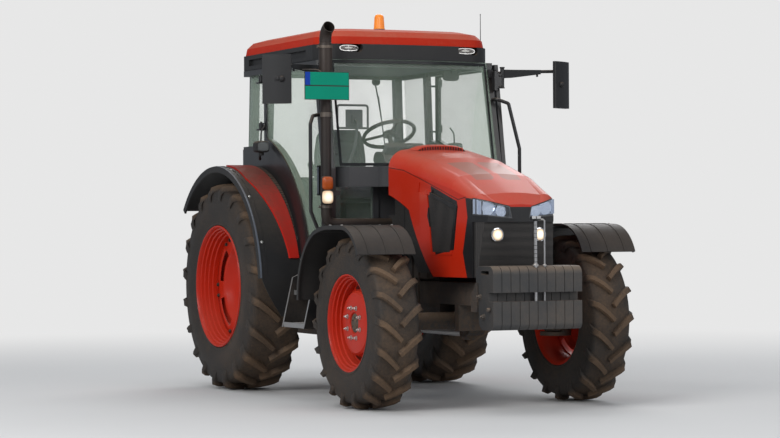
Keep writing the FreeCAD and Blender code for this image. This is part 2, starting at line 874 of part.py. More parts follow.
drive_z = front_axle_height - S.drive_shaft_drop
drive_end = axle_x - 102
beam_ball = S.beam_radius + 42
ram_y = 215
axle_end_radius = S.knuckle_inner - 8
beam_pieces = [
    drum(axle_x, front_axle_height, -S.kingpin_half + 30, S.kingpin_half - 30, S.beam_radius),
    shaft(0, front_axle_height, axle_x - 115 - S.bolster_wall, axle_x + 175, trunnion_radius),
    shaft(0, drive_z, drive_end, axle_x, 46),
    ball(axle_x, 0, front_axle_height, beam_ball),
    drum(axle_x, front_axle_height, -60, 60, beam_ball + 6),
]
pin_rise = 32
end_low = front_axle_height - S.axle_end_rise
end_high = front_axle_height + S.axle_end_rise
for _, side in sides:
    beam_pieces += [
        pillar(axle_x, side * S.kingpin_half, end_low, end_high, axle_end_radius),
        pillar(axle_x, side * S.kingpin_half, end_low - pin_rise, end_high + pin_rise, S.kingpin_radius),
        box(axle_x - 150, axle_x - 50, side * (ram_y - 12), side * (ram_y + 12), front_axle_height - 30,
            front_axle_height + 30),
    ]
keep("front_axle_beam", join(*beam_pieces))

keep("drive_shaft", join(
    shaft(0, drive_z, engine_rear, drive_end - S.seat_gap, S.drive_shaft_radius),
    shaft(0, drive_z, engine_rear, engine_rear + 60, S.drive_shaft_radius + 9),
))

ram_x = axle_x - S.steering_arm
ram_z = front_axle_height - S.steering_drop
ram_feet = [
    box(ram_x, axle_x - 150 - S.seat_gap, side * (ram_y - 12), side * (ram_y + 12), ram_z - 24, ram_z + 24)
    for _, side in sides
]
keep("steering_cylinder", cut(
    join(drum(ram_x, ram_z, -ram_y - 12, ram_y + 12, S.ram_case_radius), *ram_feet),
    drum(ram_x, ram_z, -ram_y - 20, ram_y + 20, S.ram_radius + S.pin_gap),
))

rod_eye_y = S.kingpin_half - 10
rod_eye_radius = 22
keep("steering_rod", join(
    drum(ram_x, ram_z, -rod_eye_y, rod_eye_y, S.ram_radius),
    pillar(ram_x, -rod_eye_y, ram_z - 13, ram_z + 13, rod_eye_radius),
    pillar(ram_x, rod_eye_y, ram_z - 13, ram_z + 13, rod_eye_radius),
))

# Steering knuckles, open towards the axle beam so that they can turn

fender_top = 2 * S.front_tyre_radius + S.front_fender_clearance
strap_top = fender_top - S.front_fender_wall - S.seat_gap
stand_y = S.front_fender_inner - 30
flange_end = S.front_hub_inner - S.running_gap
mouth_low = end_low - S.running_gap
mouth_high = end_high + S.running_gap


def knuckle(side):
    y = side * S.kingpin_half
    outer = S.knuckle_inner + S.knuckle_wall
    fork = cut(
        pillar(axle_x, y, end_low - pin_rise, end_high + pin_rise, outer),
        pillar(axle_x, y, mouth_low, mouth_high, S.knuckle_inner),
        pillar(axle_x, y, end_low - 2 * pin_rise, end_high + 2 * pin_rise, S.kingpin_radius + S.pin_gap),
        box(axle_x - 200, axle_x + 200, y - side * 200, y + side * 2, mouth_low, mouth_high),
    )
    arm_top = ram_z - 13 - S.running_gap
    arm = cut(
        floor_plate([
            (axle_x - 20, y + side * 60), (axle_x - 20, y + side * 100),
            (ram_x - rod_eye_radius, side * (rod_eye_y + rod_eye_radius)),
            (ram_x - rod_eye_radius, side * (rod_eye_y - rod_eye_radius)),
        ], arm_top - 24, arm_top, bows={2: -side * 14}),
        pillar(axle_x, y, arm_top - 60, arm_top + 60, S.knuckle_inner + 2),
    )
    inner = y + side * (S.knuckle_inner + 6)
    return join(
        fork,
        arm,
        drum(axle_x, front_axle_height, inner, side * (S.front_hub_inner + S.spindle_depth), S.spindle_radius),
        drum(axle_x, front_axle_height, inner, side * flange_end, 70),
        box(axle_x - 25, axle_x + 25, side * stand_y, side * (stand_y + 22), end_high + pin_rise - 2, strap_top),
        box(axle_x - 40, axle_x + 40, side * stand_y, side * (S.front_fender_outer - 66), strap_top - 18,
            strap_top),
    )


for name, side in sides:
    keep("knuckle_" + name, knuckle(side))

# Front fenders ride on the knuckles

wall = S.front_fender_wall
FENDER_LINE = [
    # x from the axle, drop from the top, bow of the edge that follows, inward x, inward z
    (-604, 512, 84, 1, 0),
    (-320, 40, 8, 0.45, -0.89),
    (-100, 0, 0, 0, -1),
    (130, 0, 52, 0, -1),
    (420, 190, 0, -0.95, -0.3),
]


def fender_strip(low, high, y0, y1):
    """Sheet that follows the fender's line, between two heights above its underside."""
    outer, inner, bows = [], [], {}
    for index, (out, drop, bow, shift_x, shift_z) in enumerate(FENDER_LINE):
        x = axle_x + out
        z = fender_top - drop
        outer.append((x + shift_x * (wall - high), z + shift_z * (wall - high)))
        inner.append((x + shift_x * (wall - low), z + shift_z * (wall - low)))
        if bow:
            bows[index] = bow
            bows[2 * len(FENDER_LINE) - 2 - index] = -bow + 2
    return side_plate(outer + inner[::-1], y0, y1, bows)


def front_fender(side):
    y0, y1 = side * S.front_fender_inner, side * S.front_fender_outer
    ridge = wall + 4
    strips = [fender_strip(0, wall, y0, y1), fender_strip(-16, wall, y1 - side * 10, y1)]
    for out in (70, 200, 330):
        strips.append(fender_strip(wall / 2, ridge, y0 + side * out, y0 + side * (out + 14)))
    corner = floor_plate([(axle_x - 700, side * 600), (axle_x - 700, side * 730), (axle_x - 250, side * 600)],
                         600, 1300)
    return cut(join(*strips), corner)


for name, side in sides:
    keep("front_fender_" + name, front_fender(side))

# Front suitcase weights, hooked over the carrier, and the sight post that stands in them

weight_back = carrier_front + S.seat_gap
weight_low = rail_bottom - 30 - S.weight_drop
weight_high = hook_top + S.weight_rise
hook_gap = hook_top + S.seat_gap
notch_low = hook_top - 118
notch_high = hook_top - 60
WEIGHT_OUTLINE = [
    (weight_back, weight_low + 60), (weight_back + 60, weight_low), (front_reach - 40, weight_low),
    (front_reach, weight_low + 40), (front_reach, notch_low), (front_reach - 60, notch_low),
    (front_reach - 60, notch_high), (front_reach, notch_high), (front_reach, weight_high - 50),
    (front_reach - 50, weight_high), (carrier_front - 5, weight_high), (carrier_front - 35, weight_high - 30),
    (carrier_front - 35, hook_gap), (weight_back, hook_gap),
]
post_x = front_reach - 30
thin_y = S.weight_pitch
hand_hole = side_plate([(weight_back + 45, weight_high - 55), (weight_back + 135, weight_high - 55),
                        (weight_back + 135, weight_high - 30), (weight_back + 45, weight_high - 30)],
                       -400, 400, bows={1: -10, 3: -10})
post_bores = [
    pillar(post_x, 0, weight_low - 6, weight_high + 40, S.sight_post_radius + S.seat_gap),
    pillar(post_x, thin_y, weight_low - 6, weight_high + 40, S.sight_post_radius - 5 + S.seat_gap),
]
slabs = []
for index in range(int(S.weight_count)):
    y = (index - (S.weight_count - 1) / 2) * S.weight_pitch
    slabs.append(side_plate(WEIGHT_OUTLINE, y - S.weight_width / 2, y + S.weight_width / 2,
                            bows={0: -14, 2: -12, 8: -14}))
keep("front_weights", cut(group(*slabs), hand_hole, *post_bores))

post_low = weight_low + 14
post_top = weight_low + S.sight_post_height
keep("sight_post", group(
    join(
        pillar(post_x, 0, post_low, post_top, S.sight_post_radius),
        box(post_x - 14, post_x + 14, -32, 32, post_top - 18, post_top),
    ),
    pillar(post_x, thin_y, post_low, post_top - 29, S.sight_post_radius - 5),
))

# Bonnet: a shell lofted through cross-sections and cut to its side outline

bonnet_rear = S.cab_front + S.bonnet_gap
bonnet_front = carrier_front - 25
bonnet_length = bonnet_front - bonnet_rear
bonnet_base = rail_top + 40
BONNET_SECTIONS = [
    # share of the length, half width, side top, crown half width, crown height, base half width
    (0, 362, 745, 262, 892, 362),
    (0.37, 352, 680, 245, 810, 345),
    (0.7, 330, 592, 225, 692, 318),
    (0.92, 302, 508, 200, 560, 296),
    (1, 246, 440, 150, 482, 240),
]


def bonnet_solid(inset, rear_extra=0, front_extra=0):
    """The bonnet's outside moved inwards by inset, its ends moved back by the extras."""
    sections = []
    for share, half, side_top, crown_half, crown, base_half in BONNET_SECTIONS:
        x = bonnet_rear + bonnet_length * share
        if share == 0:
            x = x - rear_extra
        if share == 1:
            x = x - front_extra
        low = bonnet_base - (60 if inset > 0 else 0)
        dome = crown_half * 0.07
        side_z = bonnet_base + side_top - inset * 0.6
        crown_z = bonnet_base + crown - dome - inset
        points = [
            (-base_half + inset, low), (-half + inset, side_z), (-crown_half + inset * 0.6, crown_z),
            (crown_half - inset * 0.6, crown_z), (half - inset, side_z), (base_half - inset, low),
        ]
        bows = {1: crown_half * 0.1, 2: dome, 3: crown_half * 0.1}
        sections.append((points, bows, (x, 0, 0), ALONG))
    return loft(sections)


def bonnet_side(points):
    """Points given from the bonnet's lower rear corner, as places in the tractor."""
    return [(bonnet_rear + x, bonnet_base + z) for x, z in points]


SCREEN = [
    # along the bonnet, above its base, and how each moves in for a gap
    (583, 560, 1.5, -1.5),
    (633, 166, 1, 1),
    (878, 166, -1.3, 1),
    (950, 450, -1.6, -1.5),
]


def screen_block(gap):
    return side_plate(bonnet_side([(x + gap * dx, z + gap * dz) for x, z, dx, dz in SCREEN]), -500, 500)


def headlamp_outline(side, gap):
    corners = [(60 - gap, 388 - gap), (78 - gap, 470 + gap), (420, 558 + gap * 1.1), (420, 422 - gap * 1.1)]
    return [(side * y, bonnet_base + z) for y, z in corners]


nose_back = bonnet_front - 112
outside = bonnet_solid(0)
below_edge = side_plate(bonnet_side([(-90, 581), (0, 560), (307, 452), (560, 80), (640, 0), (640, -80),
                                     (-90, -80)]), -500, 500, bows={1: 8, 2: -14})
lamp_bay = box(nose_back - S.seat_gap, front_reach, -500, 500, bonnet_base - 20, bonnet_base + 366 + S.seat_gap)
lamp_holes = [cross_plate(headlamp_outline(side, S.seat_gap), nose_back - 3, front_reach) for _, side in sides]
RECESSES = [
    # upper rear corner along and above, upper front, lower front, lower rear
    [(470, 640), (640, 592), (610, 535), (455, 575)],
    [(655, 588), (800, 545), (770, 500), (630, 530)],
]
recess_floor = bonnet_solid(5)
recesses = [cut(side_plate(bonnet_side(corners), -500, 500), recess_floor) for corners in RECESSES]
screen_frame = shared(
    cut(bonnet_solid(-5), bonnet_solid(S.bonnet_wall, 20, 30)),
    cut(screen_block(-18), screen_block(0)),
)
shell = cut(outside, bonnet_solid(S.bonnet_wall, 20, 30), below_edge, screen_block(0), lamp_bay, *lamp_holes,
            *recesses)

hinge_x = bonnet_rear + 30
hinge_z = bonnet_base + 892 - S.bonnet_hinge_drop
hinge_pin_radius = 8
lug_y = S.bonnet_hinge_half + 13
lug_half = 5


def bonnet_lug(side):
    plate = side_plate([(hinge_x - 16, hinge_z - 8), (hinge_x + 16, hinge_z - 8), (hinge_x + 16, hinge_z + 30),
                        (hinge_x - 16, hinge_z + 32)], side * (lug_y - lug_half), side * (lug_y + lug_half))
    eye = drum(hinge_x, hinge_z, side * (lug_y - lug_half), side * (lug_y + lug_half), 16)
    bore = drum(hinge_x, hinge_z, side * (lug_y - 20), side * (lug_y + 20), hinge_pin_radius + S.pin_gap)
    return cut(join(plate, eye), bore)


keep("bonnet_shell", join(shell, screen_frame, *[bonnet_lug(side) for _, side in sides]))

lamp_face = bonnet_solid(2, 0, 2)
fog_z = bonnet_base + 283
lamps = [shared(cross_plate(headlamp_outline(side, 0), nose_back, front_reach), lamp_face) for _, side in sides]
for _, side in sides:
    lamps.append(join(
        shaft(side * S.fog_lamp_half, fog_z, bonnet_front - 56, bonnet_front - 34, S.fog_lamp_radius),
        shaft(side * S.fog_lamp_half, fog_z, bonnet_front - 40, bonnet_front - 26, S.fog_lamp_radius - 8),
    ))
keep("headlamps", group(*lamps))

slat_low = bonnet_base + 22
slat_pitch = 324 / S.grille_slats
slats = []
for index in range(int(S.grille_slats)):
    z = slat_low + slat_pitch * (index + 0.4)
    slats.append(box(nose_back + 6, nose_back + 26 + (z - slat_low) * 0.151, -232, 232, z, z + 12))
grille_front = cut(
    shared(lamp_face, side_plate([(nose_back, bonnet_base + 2), (nose_back + 32, bonnet_base + 2),
                                  (nose_back + 87, bonnet_base + 366), (nose_back, bonnet_base + 366)], -290, 290)),
    side_plate([(nose_back, slat_low), (nose_back + 14, slat_low), (nose_back + 62, slat_low + 324),
                (nose_back, slat_low + 324)], -230, 230),
)
grille_front = cut(
    join(grille_front, *slats),
    *[shaft(side * S.fog_lamp_half, fog_z, nose_back - 5, front_reach, S.fog_lamp_radius + S.seat_gap)
      for _, side in sides],
)
screens = shared(cut(bonnet_solid(3, 0, 3), bonnet_solid(9, 40, 40)), screen_block(S.seat_gap))
keep("grille", group(grille_front, screens))

# Cab frame, base and cowl

half = S.cab_half
a_bottom = S.cab_front
a_top = S.cab_front - S.cab_lean
b_post = S.hinge_post
c_post = -S.cab_rear
roof_z = floor_z + S.cab_height
cowl_top = floor_z + S.cowl_rise
leg_top = cowl_top - 10
belt_z = roof_z - S.belt_drop
arch_top = belt_z - 20
rear_wall_top = belt_z - 230
leg_depth = 52
sill_top = floor_z + 90
panel_inner = half - 35
floor_rear = S.cab_front - 560
fender_radius = rear_axle_height + S.fender_gap
fender_skin = fender_radius + S.fender_wall + S.seat_gap


def post(x_low, x_high, z_low, z_high, width, y_low, y_high, depth):
    """A post on the right-hand side that leans back and inwards as it rises."""
    def section(x, y):
        return [(x, -y), (x + width, -y), (x + width, -y + depth), (x, -y + depth)]
    return loft([(section(x_low, y_low), None, (0, 0, z_low), FLAT),
                 (section(x_high, y_high), None, (0, 0, z_high), FLAT)])


door_pin_x = b_post + 5
door_pin_y = half + 52
DOOR_HINGES = (roof_z - 460, roof_z - 110)
frame_pieces = [
    post(a_bottom - S.post_width, a_top - S.post_width, leg_top + S.seat_gap, roof_z, S.post_width, half,
         half - 20, leg_depth),
    post(b_post - 50, b_post - 50, arch_top + S.seat_gap, roof_z, 50, half, half - 20, 45),
    post(c_post, c_post, rear_wall_top - 40, roof_z, S.post_width, half - 40, half - 60, S.post_width),
    box(c_post, a_top, -half + 10, -half + 55, roof_z - 45, roof_z),
    box(c_post, b_post, -half + 5, -half + 50, arch_top + S.seat_gap, belt_z),
]
for height in DOOR_HINGES:
    frame_pieces.append(box(b_post - 45, door_pin_x + 11, -door_pin_y - 18, -half + 30, height - 12, height))
    frame_pieces.append(pillar(door_pin_x, -door_pin_y, height - 6, height + 54, S.door_hinge_radius))
right_frame = join(*frame_pieces)
keep("cab_frame", join(
    right_frame,
    twin(right_frame),
    box(a_top - S.post_width, a_top, -half + 30, half - 30, roof_z - 45, roof_z),
    box(c_post, c_post + S.post_width, -half + 60, half - 60, roof_z - 45, roof_z),
    box(c_post, c_post + 40, -560, 560, platform_z - 40, rear_wall_top),
    box(c_post, c_post + 40, -640, 640, rear_wall_top - 40, rear_wall_top),
))

arch_panel = cut(
    arch(fender_skin, S.arch_panel_depth, -half, -panel_inner, 8, 150, rear_axle_height),
    box(c_post - 970, c_post, -800, 0, 900, 2400),
    box(c_post - 970, b_post + S.seat_gap, -800, 0, arch_top, 2400),
    box(c_post - 70, 1300, -800, 0, 400, floor_under),
)
right_base = join(
    box(a_bottom - S.post_width, a_bottom, -half, -half + leg_depth, floor_under, leg_top),
    box(floor_rear, a_bottom, -half, -half + 50, floor_under, floor_z),
    arch_panel,
    floor_plate([(a_bottom, -half + 40), (a_bottom, -half), (a_bottom + 103, -half), (a_bottom + 103, -half - 100),
                 (a_bottom + 111, -half - 100), (a_bottom + 111, -half + 40)], cowl_top - 202, cowl_top - 172),
)
keep("cab_base", join(right_base, twin(right_base),
                      box(a_bottom - 40, a_bottom, -half, half, floor_under, sill_top)))

cowl_half = half - leg_depth - 1
cowl_low = cowl_top - 142
leg_low = sill_top + S.seat_gap
cowl = cut(
    floor_plate([(a_bottom - 40, -cowl_half), (a_bottom + 60, -560), (bonnet_rear - 130, -380),
                 (bonnet_rear - 50, -300), (bonnet_rear - 50, 300), (bonnet_rear - 130, 380),
                 (a_bottom + 60, 560), (a_bottom - 40, cowl_half)], cowl_low, cowl_top, bows={2: -12, 4: -12}),
    box(a_bottom - 200, a_bottom + 20, -590, 590, cowl_low - 100, cowl_top - 52),
)
cowl_legs = [box(a_bottom - 40, a_bottom + 10, side * 310, side * 350, leg_low, cowl_low + 40) for _, side in sides]
hinge_half = S.bonnet_hinge_half
bonnet_arm = join(
    side_plate([(bonnet_rear - 90, cowl_top - 42), (hinge_x + 14, cowl_top - 42), (hinge_x + 14, hinge_z),
                (hinge_x - 14, hinge_z), (hinge_x - 14, cowl_top - 2), (bonnet_rear - 90, cowl_top - 2)],
               -hinge_half - 6, -hinge_half + 6),
    drum(hinge_x, hinge_z, -hinge_half - 6, -hinge_half + 6, 14),
    drum(hinge_x, hinge_z, -lug_y - lug_half - 3, -hinge_half, hinge_pin_radius),
)
keep("cab_cowl", join(cowl, box(a_bottom - 30, a_bottom, -330, 330, leg_low, cowl_low + 40), bonnet_arm,
                      twin(bonnet_arm), *cowl_legs))

platform_top = platform_z + 40
keep("cab_floor", join(
    box(floor_rear, a_bottom - 45, -half + leg_depth, half - leg_depth, floor_under, floor_z - S.seat_gap),
    box(c_post + 41, floor_rear + 40, -550, 550, platform_z, platform_top),
    box(floor_rear, floor_rear + 40, -550, 550, floor_under, platform_top - 20),
))

# Windows

glass = S.glass_wall
pane_x = glass + 2 * S.seat_gap


def bent_pane(x, half_width, bulge):
    return [(x, -half_width), (x, half_width), (x - glass, half_width), (x - glass, -half_width)], \
        {0: -bulge, 2: bulge}


low_line, low_bows = bent_pane(a_bottom + pane_x, half - 40, 131)
high_line, high_bows = bent_pane(a_top + pane_x, half - 62, 76)
quarter = post(c_post + S.post_width + S.seat_gap, c_post + S.post_width + S.seat_gap, belt_z + S.seat_gap,
               roof_z - 45 - S.seat_gap, b_post - c_post - 50 - S.post_width - 2 * S.seat_gap, half - 20,
               half - 37, glass)
panes = [
    loft([(low_line, low_bows, (0, 0, cowl_top + S.seat_gap), FLAT),
          (high_line, high_bows, (0, 0, roof_z - S.seat_gap), FLAT)]),
    box(c_post - glass - S.seat_gap, c_post - S.seat_gap, -610, 610, rear_wall_top - 30, roof_z - 20),
    quarter,
    twin(quarter),
]
for _, side in sides:
    panes.append(box(a_bottom - 20, a_bottom - 12, side * (350 + S.seat_gap), side * (half - leg_depth - S.seat_gap),
                     sill_top + S.seat_gap, cowl_low - S.seat_gap))
keep("cab_windows", group(*panes))

# Doors, hinged at the rear post

door_inner = half + S.running_gap
door_outer = door_inner + S.door_wall
door_rear = b_post + 22
door_bottom = floor_z - 20
door_top = roof_z - 12
door_arch = fender_skin + S.door_arch_gap


def door_outline(inset):
    """The door's side outline, its lower rear corner round the wheel arch."""
    radius = door_arch + inset
    rear = door_rear + inset
    low = door_bottom + inset
    drop = low - rear_axle_height
    arc_top = rear_axle_height + root(radius * radius - rear * rear)
    arc_end = root(radius * radius - drop * drop)
    middle_x = (rear + arc_end) / 2
    middle_z = (arc_top + low) / 2 - rear_axle_height
    bow = radius - root(middle_x * middle_x + middle_z * middle_z)
    points = [(rear, arc_top), (arc_end, low), (a_bottom - 8 - inset, low), (a_bottom - 8 - inset, leg_top),
              (a_top + 4 - inset, door_top - inset), (rear, door_top - inset)]
    return points, {0: bow}


def door_plate(inset, y0, y1):
    points, bows = door_outline(inset)
    return side_plate(points, y0, y1, bows)


for name, side in sides:
    y0, y1 = side * door_inner, side * door_outer
    barrels = []
    for height in DOOR_HINGES:
        low = height + S.seat_gap
        barrels.append(cut(
            join(pillar(door_pin_x, side * door_pin_y, low, low + 44, 18),
                 box(door_pin_x, door_rear + 30, y1 - side * 6, side * door_pin_y, low, low + 44)),
            pillar(door_pin_x, side * door_pin_y, low - 2, low + 60, S.door_hinge_radius + S.pin_gap),
        ))
    handle = floor_plate([(a_bottom - 46, y1 - side * 2), (a_bottom - 18, y1 - side * 2),
                          (a_bottom - 18, y1 + side * 34), (a_bottom - 46, y1 + side * 34)],
                         leg_top - 192, leg_top + 18, bows={2: side * 12})
    keep("door_frame_" + name, join(
        cut(door_plate(0, y0, y1), door_plate(S.door_frame_width, y0 - side, y1 + side)), handle, *barrels))
    pane_y = side * (door_inner + 10)
    keep("door_glass_" + name, door_plate(S.door_frame_width + S.seat_gap, pane_y, pane_y + side * glass))

# Roof

ROOF_OUTLINE = [(-250, -600), (-200, half), (1120, half), (1300, -500)]


def roof_line(shrink):
    """The roof's outline, drawn in towards its middle."""
    middle = (a_top + c_post) / 2
    corners = [
        (c_post - 20, -600, -16), (c_post + 30, -half, 0), (a_top - 145, -half, -42), (a_top + 35, -500, -30),
        (a_top + 35, 500, -42), (a_top - 145, half, 0), (c_post + 30, half, -16), (c_post - 20, 600, 0),
    ]
    points = [(middle + (x - middle) * shrink, y * shrink) for x, y, _ in corners]
    bows = {index: bow * shrink for index, (_, _, bow) in enumerate(corners) if bow}
    return points, bows


roof_split = roof_z + S.roof_base_rise
roof_top = roof_split + S.roof_cap_rise
roof_points, roof_bows = roof_line(1)
lamp_y = 467
lamp_half = 82
lamp_low = roof_z + 56


def roof_lamp_outline(side, gap):
    y = side * lamp_y
    low = lamp_low - gap
    high = lamp_low + 54 + gap
    wide = lamp_half - 22 + gap
    return [(y - wide, low), (y + wide, low), (y + wide, high), (y - wide, high)], {1: -22, 3: -22}


lamp_pockets = []
roof_lamps = []
for _, side in sides:
    points, bows = roof_lamp_outline(side, 4)
    lamp_pockets.append(cross_plate(points, a_top - 75, a_top + 130, bows))
    points, bows = roof_lamp_outline(side, 0)
    roof_lamps.append(cross_plate(points, a_top - 75 + S.seat_gap, a_top - 3, bows))
side_grooves = [
    box(c_post + 130, a_top - 265, side * (half - 22), side * (half + 40), roof_z + 30, roof_z + 78)
    for _, side in sides
]
keep("roof_base", cut(
    floor_plate(roof_points, roof_z + S.seat_gap, roof_split, roof_bows),
    box(c_post + 60, a_top - 70, -half + 70, half - 70, roof_z - 10, roof_split - 30),
    *lamp_pockets, *side_grooves,
))

ROOF_RISES = [
    # share of the outline, share of the cap's height
    (0.985, 0),
    (0.972, 0.45),
    (0.92, 0.8),
    (0.8, 1),
]
levels = []
for shrink, share in ROOF_RISES:
    points, bows = roof_line(shrink)
    levels.append((points, bows, (0, 0, roof_split + S.seat_gap + (S.roof_cap_rise - S.seat_gap) * share), FLAT))
keep("roof_cap", loft(levels))

beacon_x = 770
beacon_foot = roof_top + S.seat_gap
beacon = Body()
beacon.turn(beacon.sketch("XZ_Plane", [
    (0, 0), (S.beacon_radius + 12, 0), (S.beacon_radius + 12, 20), (S.beacon_radius + 4, 24),
    (S.beacon_radius, S.beacon_rise - 24), (S.beacon_radius - 12, S.beacon_rise - S.seat_gap),
    (0, S.beacon_rise - S.seat_gap),
], bows={4: -4}))
place(beacon.item, beacon_x, 0, beacon_foot)
keep("roof_lamps", group(*roof_lamps, beacon.item))

# Rear fenders, their painted panels, and the marker and tail lamps

fender_inner = half + S.seat_gap
fender_out = S.fender_outer
lip = arch(fender_radius - 30, S.fender_wall + 30, -fender_out, -fender_out + 14, 5, 140, rear_axle_height)
web = arch(fender_radius - 60, S.fender_wall + 60, -fender_inner - 10, -fender_inner, 5, 140, rear_axle_height)
skin = arch(fender_radius, S.fender_wall, -fender_out, -fender_inner, 5, 140, rear_axle_height)
ridges = [
    arch(fender_radius + 4, S.fender_wall, -out - 8, -out, 5, 140, rear_axle_height)
    for out in (fender_out - 22, fender_out - 58)
]
keep("rear_fenders", both(join(skin, lip, web, *ridges)))

panel = shared(
    arch(fender_skin, 12, -930, -700, 14, 88, rear_axle_height),
    floor_plate([(0, -930), (420, -930), (900, -765), (900, -700), (480, -735), (0, -745)],
                rear_axle_height, roof_z, bows={1: -10}),
)
keep("fender_panels", both(panel))

tail_low = fender_skin
markers = []
for _, side in sides:
    markers.append(box(a_bottom + 111 + S.seat_gap, a_bottom + 156, side * 715, side * 805, cowl_top - 264,
                       cowl_top - 69))
tail = make("Part::Box", Length=120, Width=150, Height=45)
turn_back = Rotation(LEFT, -40)
tail_x = tail_low * sine(-40) - 60 * cosine(40)
tail_z = tail_low * cosine(40) - 60 * sine(40)
place(tail, tail_x, -930, rear_axle_height + tail_z, turn_back)
keep("side_lamps", group(*markers, tail, twin(tail)))

# Exhaust stack with its elbow, sleeve and bent mouth

exhaust_x = a_bottom + 55
exhaust_y = -S.exhaust_out
elbow_z = crank_top + 340
stack_top = elbow_z + S.exhaust_rise
mouth = [(exhaust_x, exhaust_y, stack_top), (exhaust_x, exhaust_y, stack_top + 66),
         (exhaust_x + 62, exhaust_y, stack_top + 132)]
pipe_top = stack_top - 70
keep("exhaust_stack", cut(
    join(
        tube([(exhaust_x, -S.engine_half - S.seat_gap, elbow_z), (exhaust_x, exhaust_y, elbow_z),
              (exhaust_x, exhaust_y, pipe_top)], S.exhaust_radius, 70),
        pillar(exhaust_x, exhaust_y, pipe_top - 140, stack_top + 8, S.exhaust_radius + 10),
        tube(mouth, S.exhaust_radius + 4, 50),
    ),
    tube(mouth, S.exhaust_radius, 50),
))

# Mirrors on their arms, handrails, steps and tank

mirror_low = roof_z - 335


def mirror(side):
    arm = tube([
        (a_top + 25, side * 655, roof_z - 80), (a_top + 95, side * 800, roof_z - 68),
        (a_top + 215, side * 1085, roof_z - 65), (a_top + 250, side * 1120, roof_z - 165),
    ], S.rail_radius - 1, 22)
    head = floor_plate([
        (a_top + 305, side * 1045), (a_top + 195, side * S.mirror_reach), (a_top + 160, side * (S.mirror_reach - 15)),
        (a_top + 235, side * 1060), (a_top + 270, side * 1038),
    ], mirror_low, mirror_low + S.mirror_height, bows={0: side * -10, 4: side * -6})
    foot = box(a_top + 20, a_top + 36, side * 632, side * 668, roof_z - 110, roof_z - 50)
    joint = ball(a_top + 250, side * 1120, roof_z - 165, 22)
    return join(arm, head, foot, joint)


keep("mirrors", group(*[mirror(side) for _, side in sides]))

rail_x = a_bottom + 25
right_rail = tube([
    (a_bottom - 64, -half + 26, roof_z - 390), (rail_x - 50, -half + 26, roof_z - 390),
    (rail_x - 50, -half - 110, roof_z - 410), (rail_x, -half - 150, roof_z - 470), (rail_x, -half - 150, floor_z + 350),
    (rail_x, -half - 80, floor_z + 180), (rail_x, -half + 25, floor_z + 170),
    (a_bottom + 0.5, -half + 25, floor_z + 170),
], S.rail_radius, 20)
left_rail = tube([
    (a_bottom - 85, half - 26, roof_z - 270), (rail_x - 53, half - 26, roof_z - 270),
    (rail_x - 30, half + 55, roof_z - 300), (rail_x + 5, half + 125, roof_z - 630), (rail_x + 5, half + 125, floor_z + 360),
    (rail_x + 5, half + 70, floor_z + 220), (rail_x + 5, half - 25, floor_z + 180),
    (a_bottom + 0.5, half - 25, floor_z + 180),
], S.rail_radius, 20)
keep("handrails", group(right_rail, left_rail))

step_x = a_bottom - 290
step_low = floor_under - S.step_drop
step_high = floor_under - 190
step_top = floor_under - S.seat_gap


def steps(side):
    pieces = []
    for low, y0, y1 in ((step_low, 730, 920), (step_high, half + 2, 840)):
        pieces.append(box(step_x, step_x + S.step_length, side * y0, side * y1, low, low + 25))
        pieces.append(box(step_x, step_x + S.step_length, side * (y1 - 6), side * y1, low, low + 32))
    for x in (step_x, step_x + S.step_length - 10):
        pieces.append(cross_plate([
            (side * 930, step_low - 5), (side * 850, floor_under - 70), (side * half, step_top),
            (side * (half - 50), step_top), (side * (half - 50), floor_under - 70), (side * 720, step_low - 5),
        ], x, x + 10))
    return join(*pieces)


keep("steps", group(*[steps(side) for _, side in sides]))

tank_low = floor_under - 410
tank = Body()
tank_block = tank.feature("Pad", tank.sketch("XY_Plane", [(0, 0), (210, 0), (210, S.tank_width), (0, S.tank_width)]),
                          Length=floor_under - S.seat_gap - tank_low)
tank_round = tank.item.newObject("PartDesign::Fillet", "Fillet")
tank_round.Base = (tank_block, [""])
tank_round.UseAllEdges = True
tank_round.Radius = 30
tank.item.Tip = tank_round
place(tank.item, floor_rear + 40, 330, tank_low)
keep("fuel_tank", group(tank.item))

# Seat, dashboard and steering wheel

seat_x = 300
seat_low = platform_top + S.seat_rise
seat_half = S.seat_width / 2
keep("seat_base", join(
    box(seat_x - 160, seat_x + 160, -170, 170, platform_top + S.seat_gap, platform_top + 35),
    side_plate([(seat_x - 130, platform_top + 30), (seat_x + 130, platform_top + 30),
                (seat_x + 95, seat_low - 25), (seat_x - 95, seat_low - 25)], -120, 120, bows={1: -12, 3: -12}),
    box(seat_x - 200, seat_x + 200, -210, 210, seat_low - 30, seat_low),
))


def rounded_block(outline_points, low, height, radius):
    block = Body()
    pad = block.feature("Pad", block.sketch("XY_Plane", outline_points, low), Length=height)
    edges = block.item.newObject("PartDesign::Fillet", "Fillet")
    edges.Base = (pad, [""])
    edges.UseAllEdges = True
    edges.Radius = radius
    block.item.Tip = edges
    return block.item


cushion_low = seat_low + S.seat_gap
keep("seat", join(
    rounded_block([(seat_x - 230, -seat_half), (seat_x + 250, -seat_half), (seat_x + 250, seat_half),
                   (seat_x - 230, seat_half)], cushion_low, 100, 28),
    rounded_block([(seat_x - 290, -seat_half + 10), (seat_x - 180, -seat_half + 10),
                   (seat_x - 180, seat_half - 10), (seat_x - 290, seat_half - 10)],
                  cushion_low + 45, 55 + S.seat_back_height, 32),
))

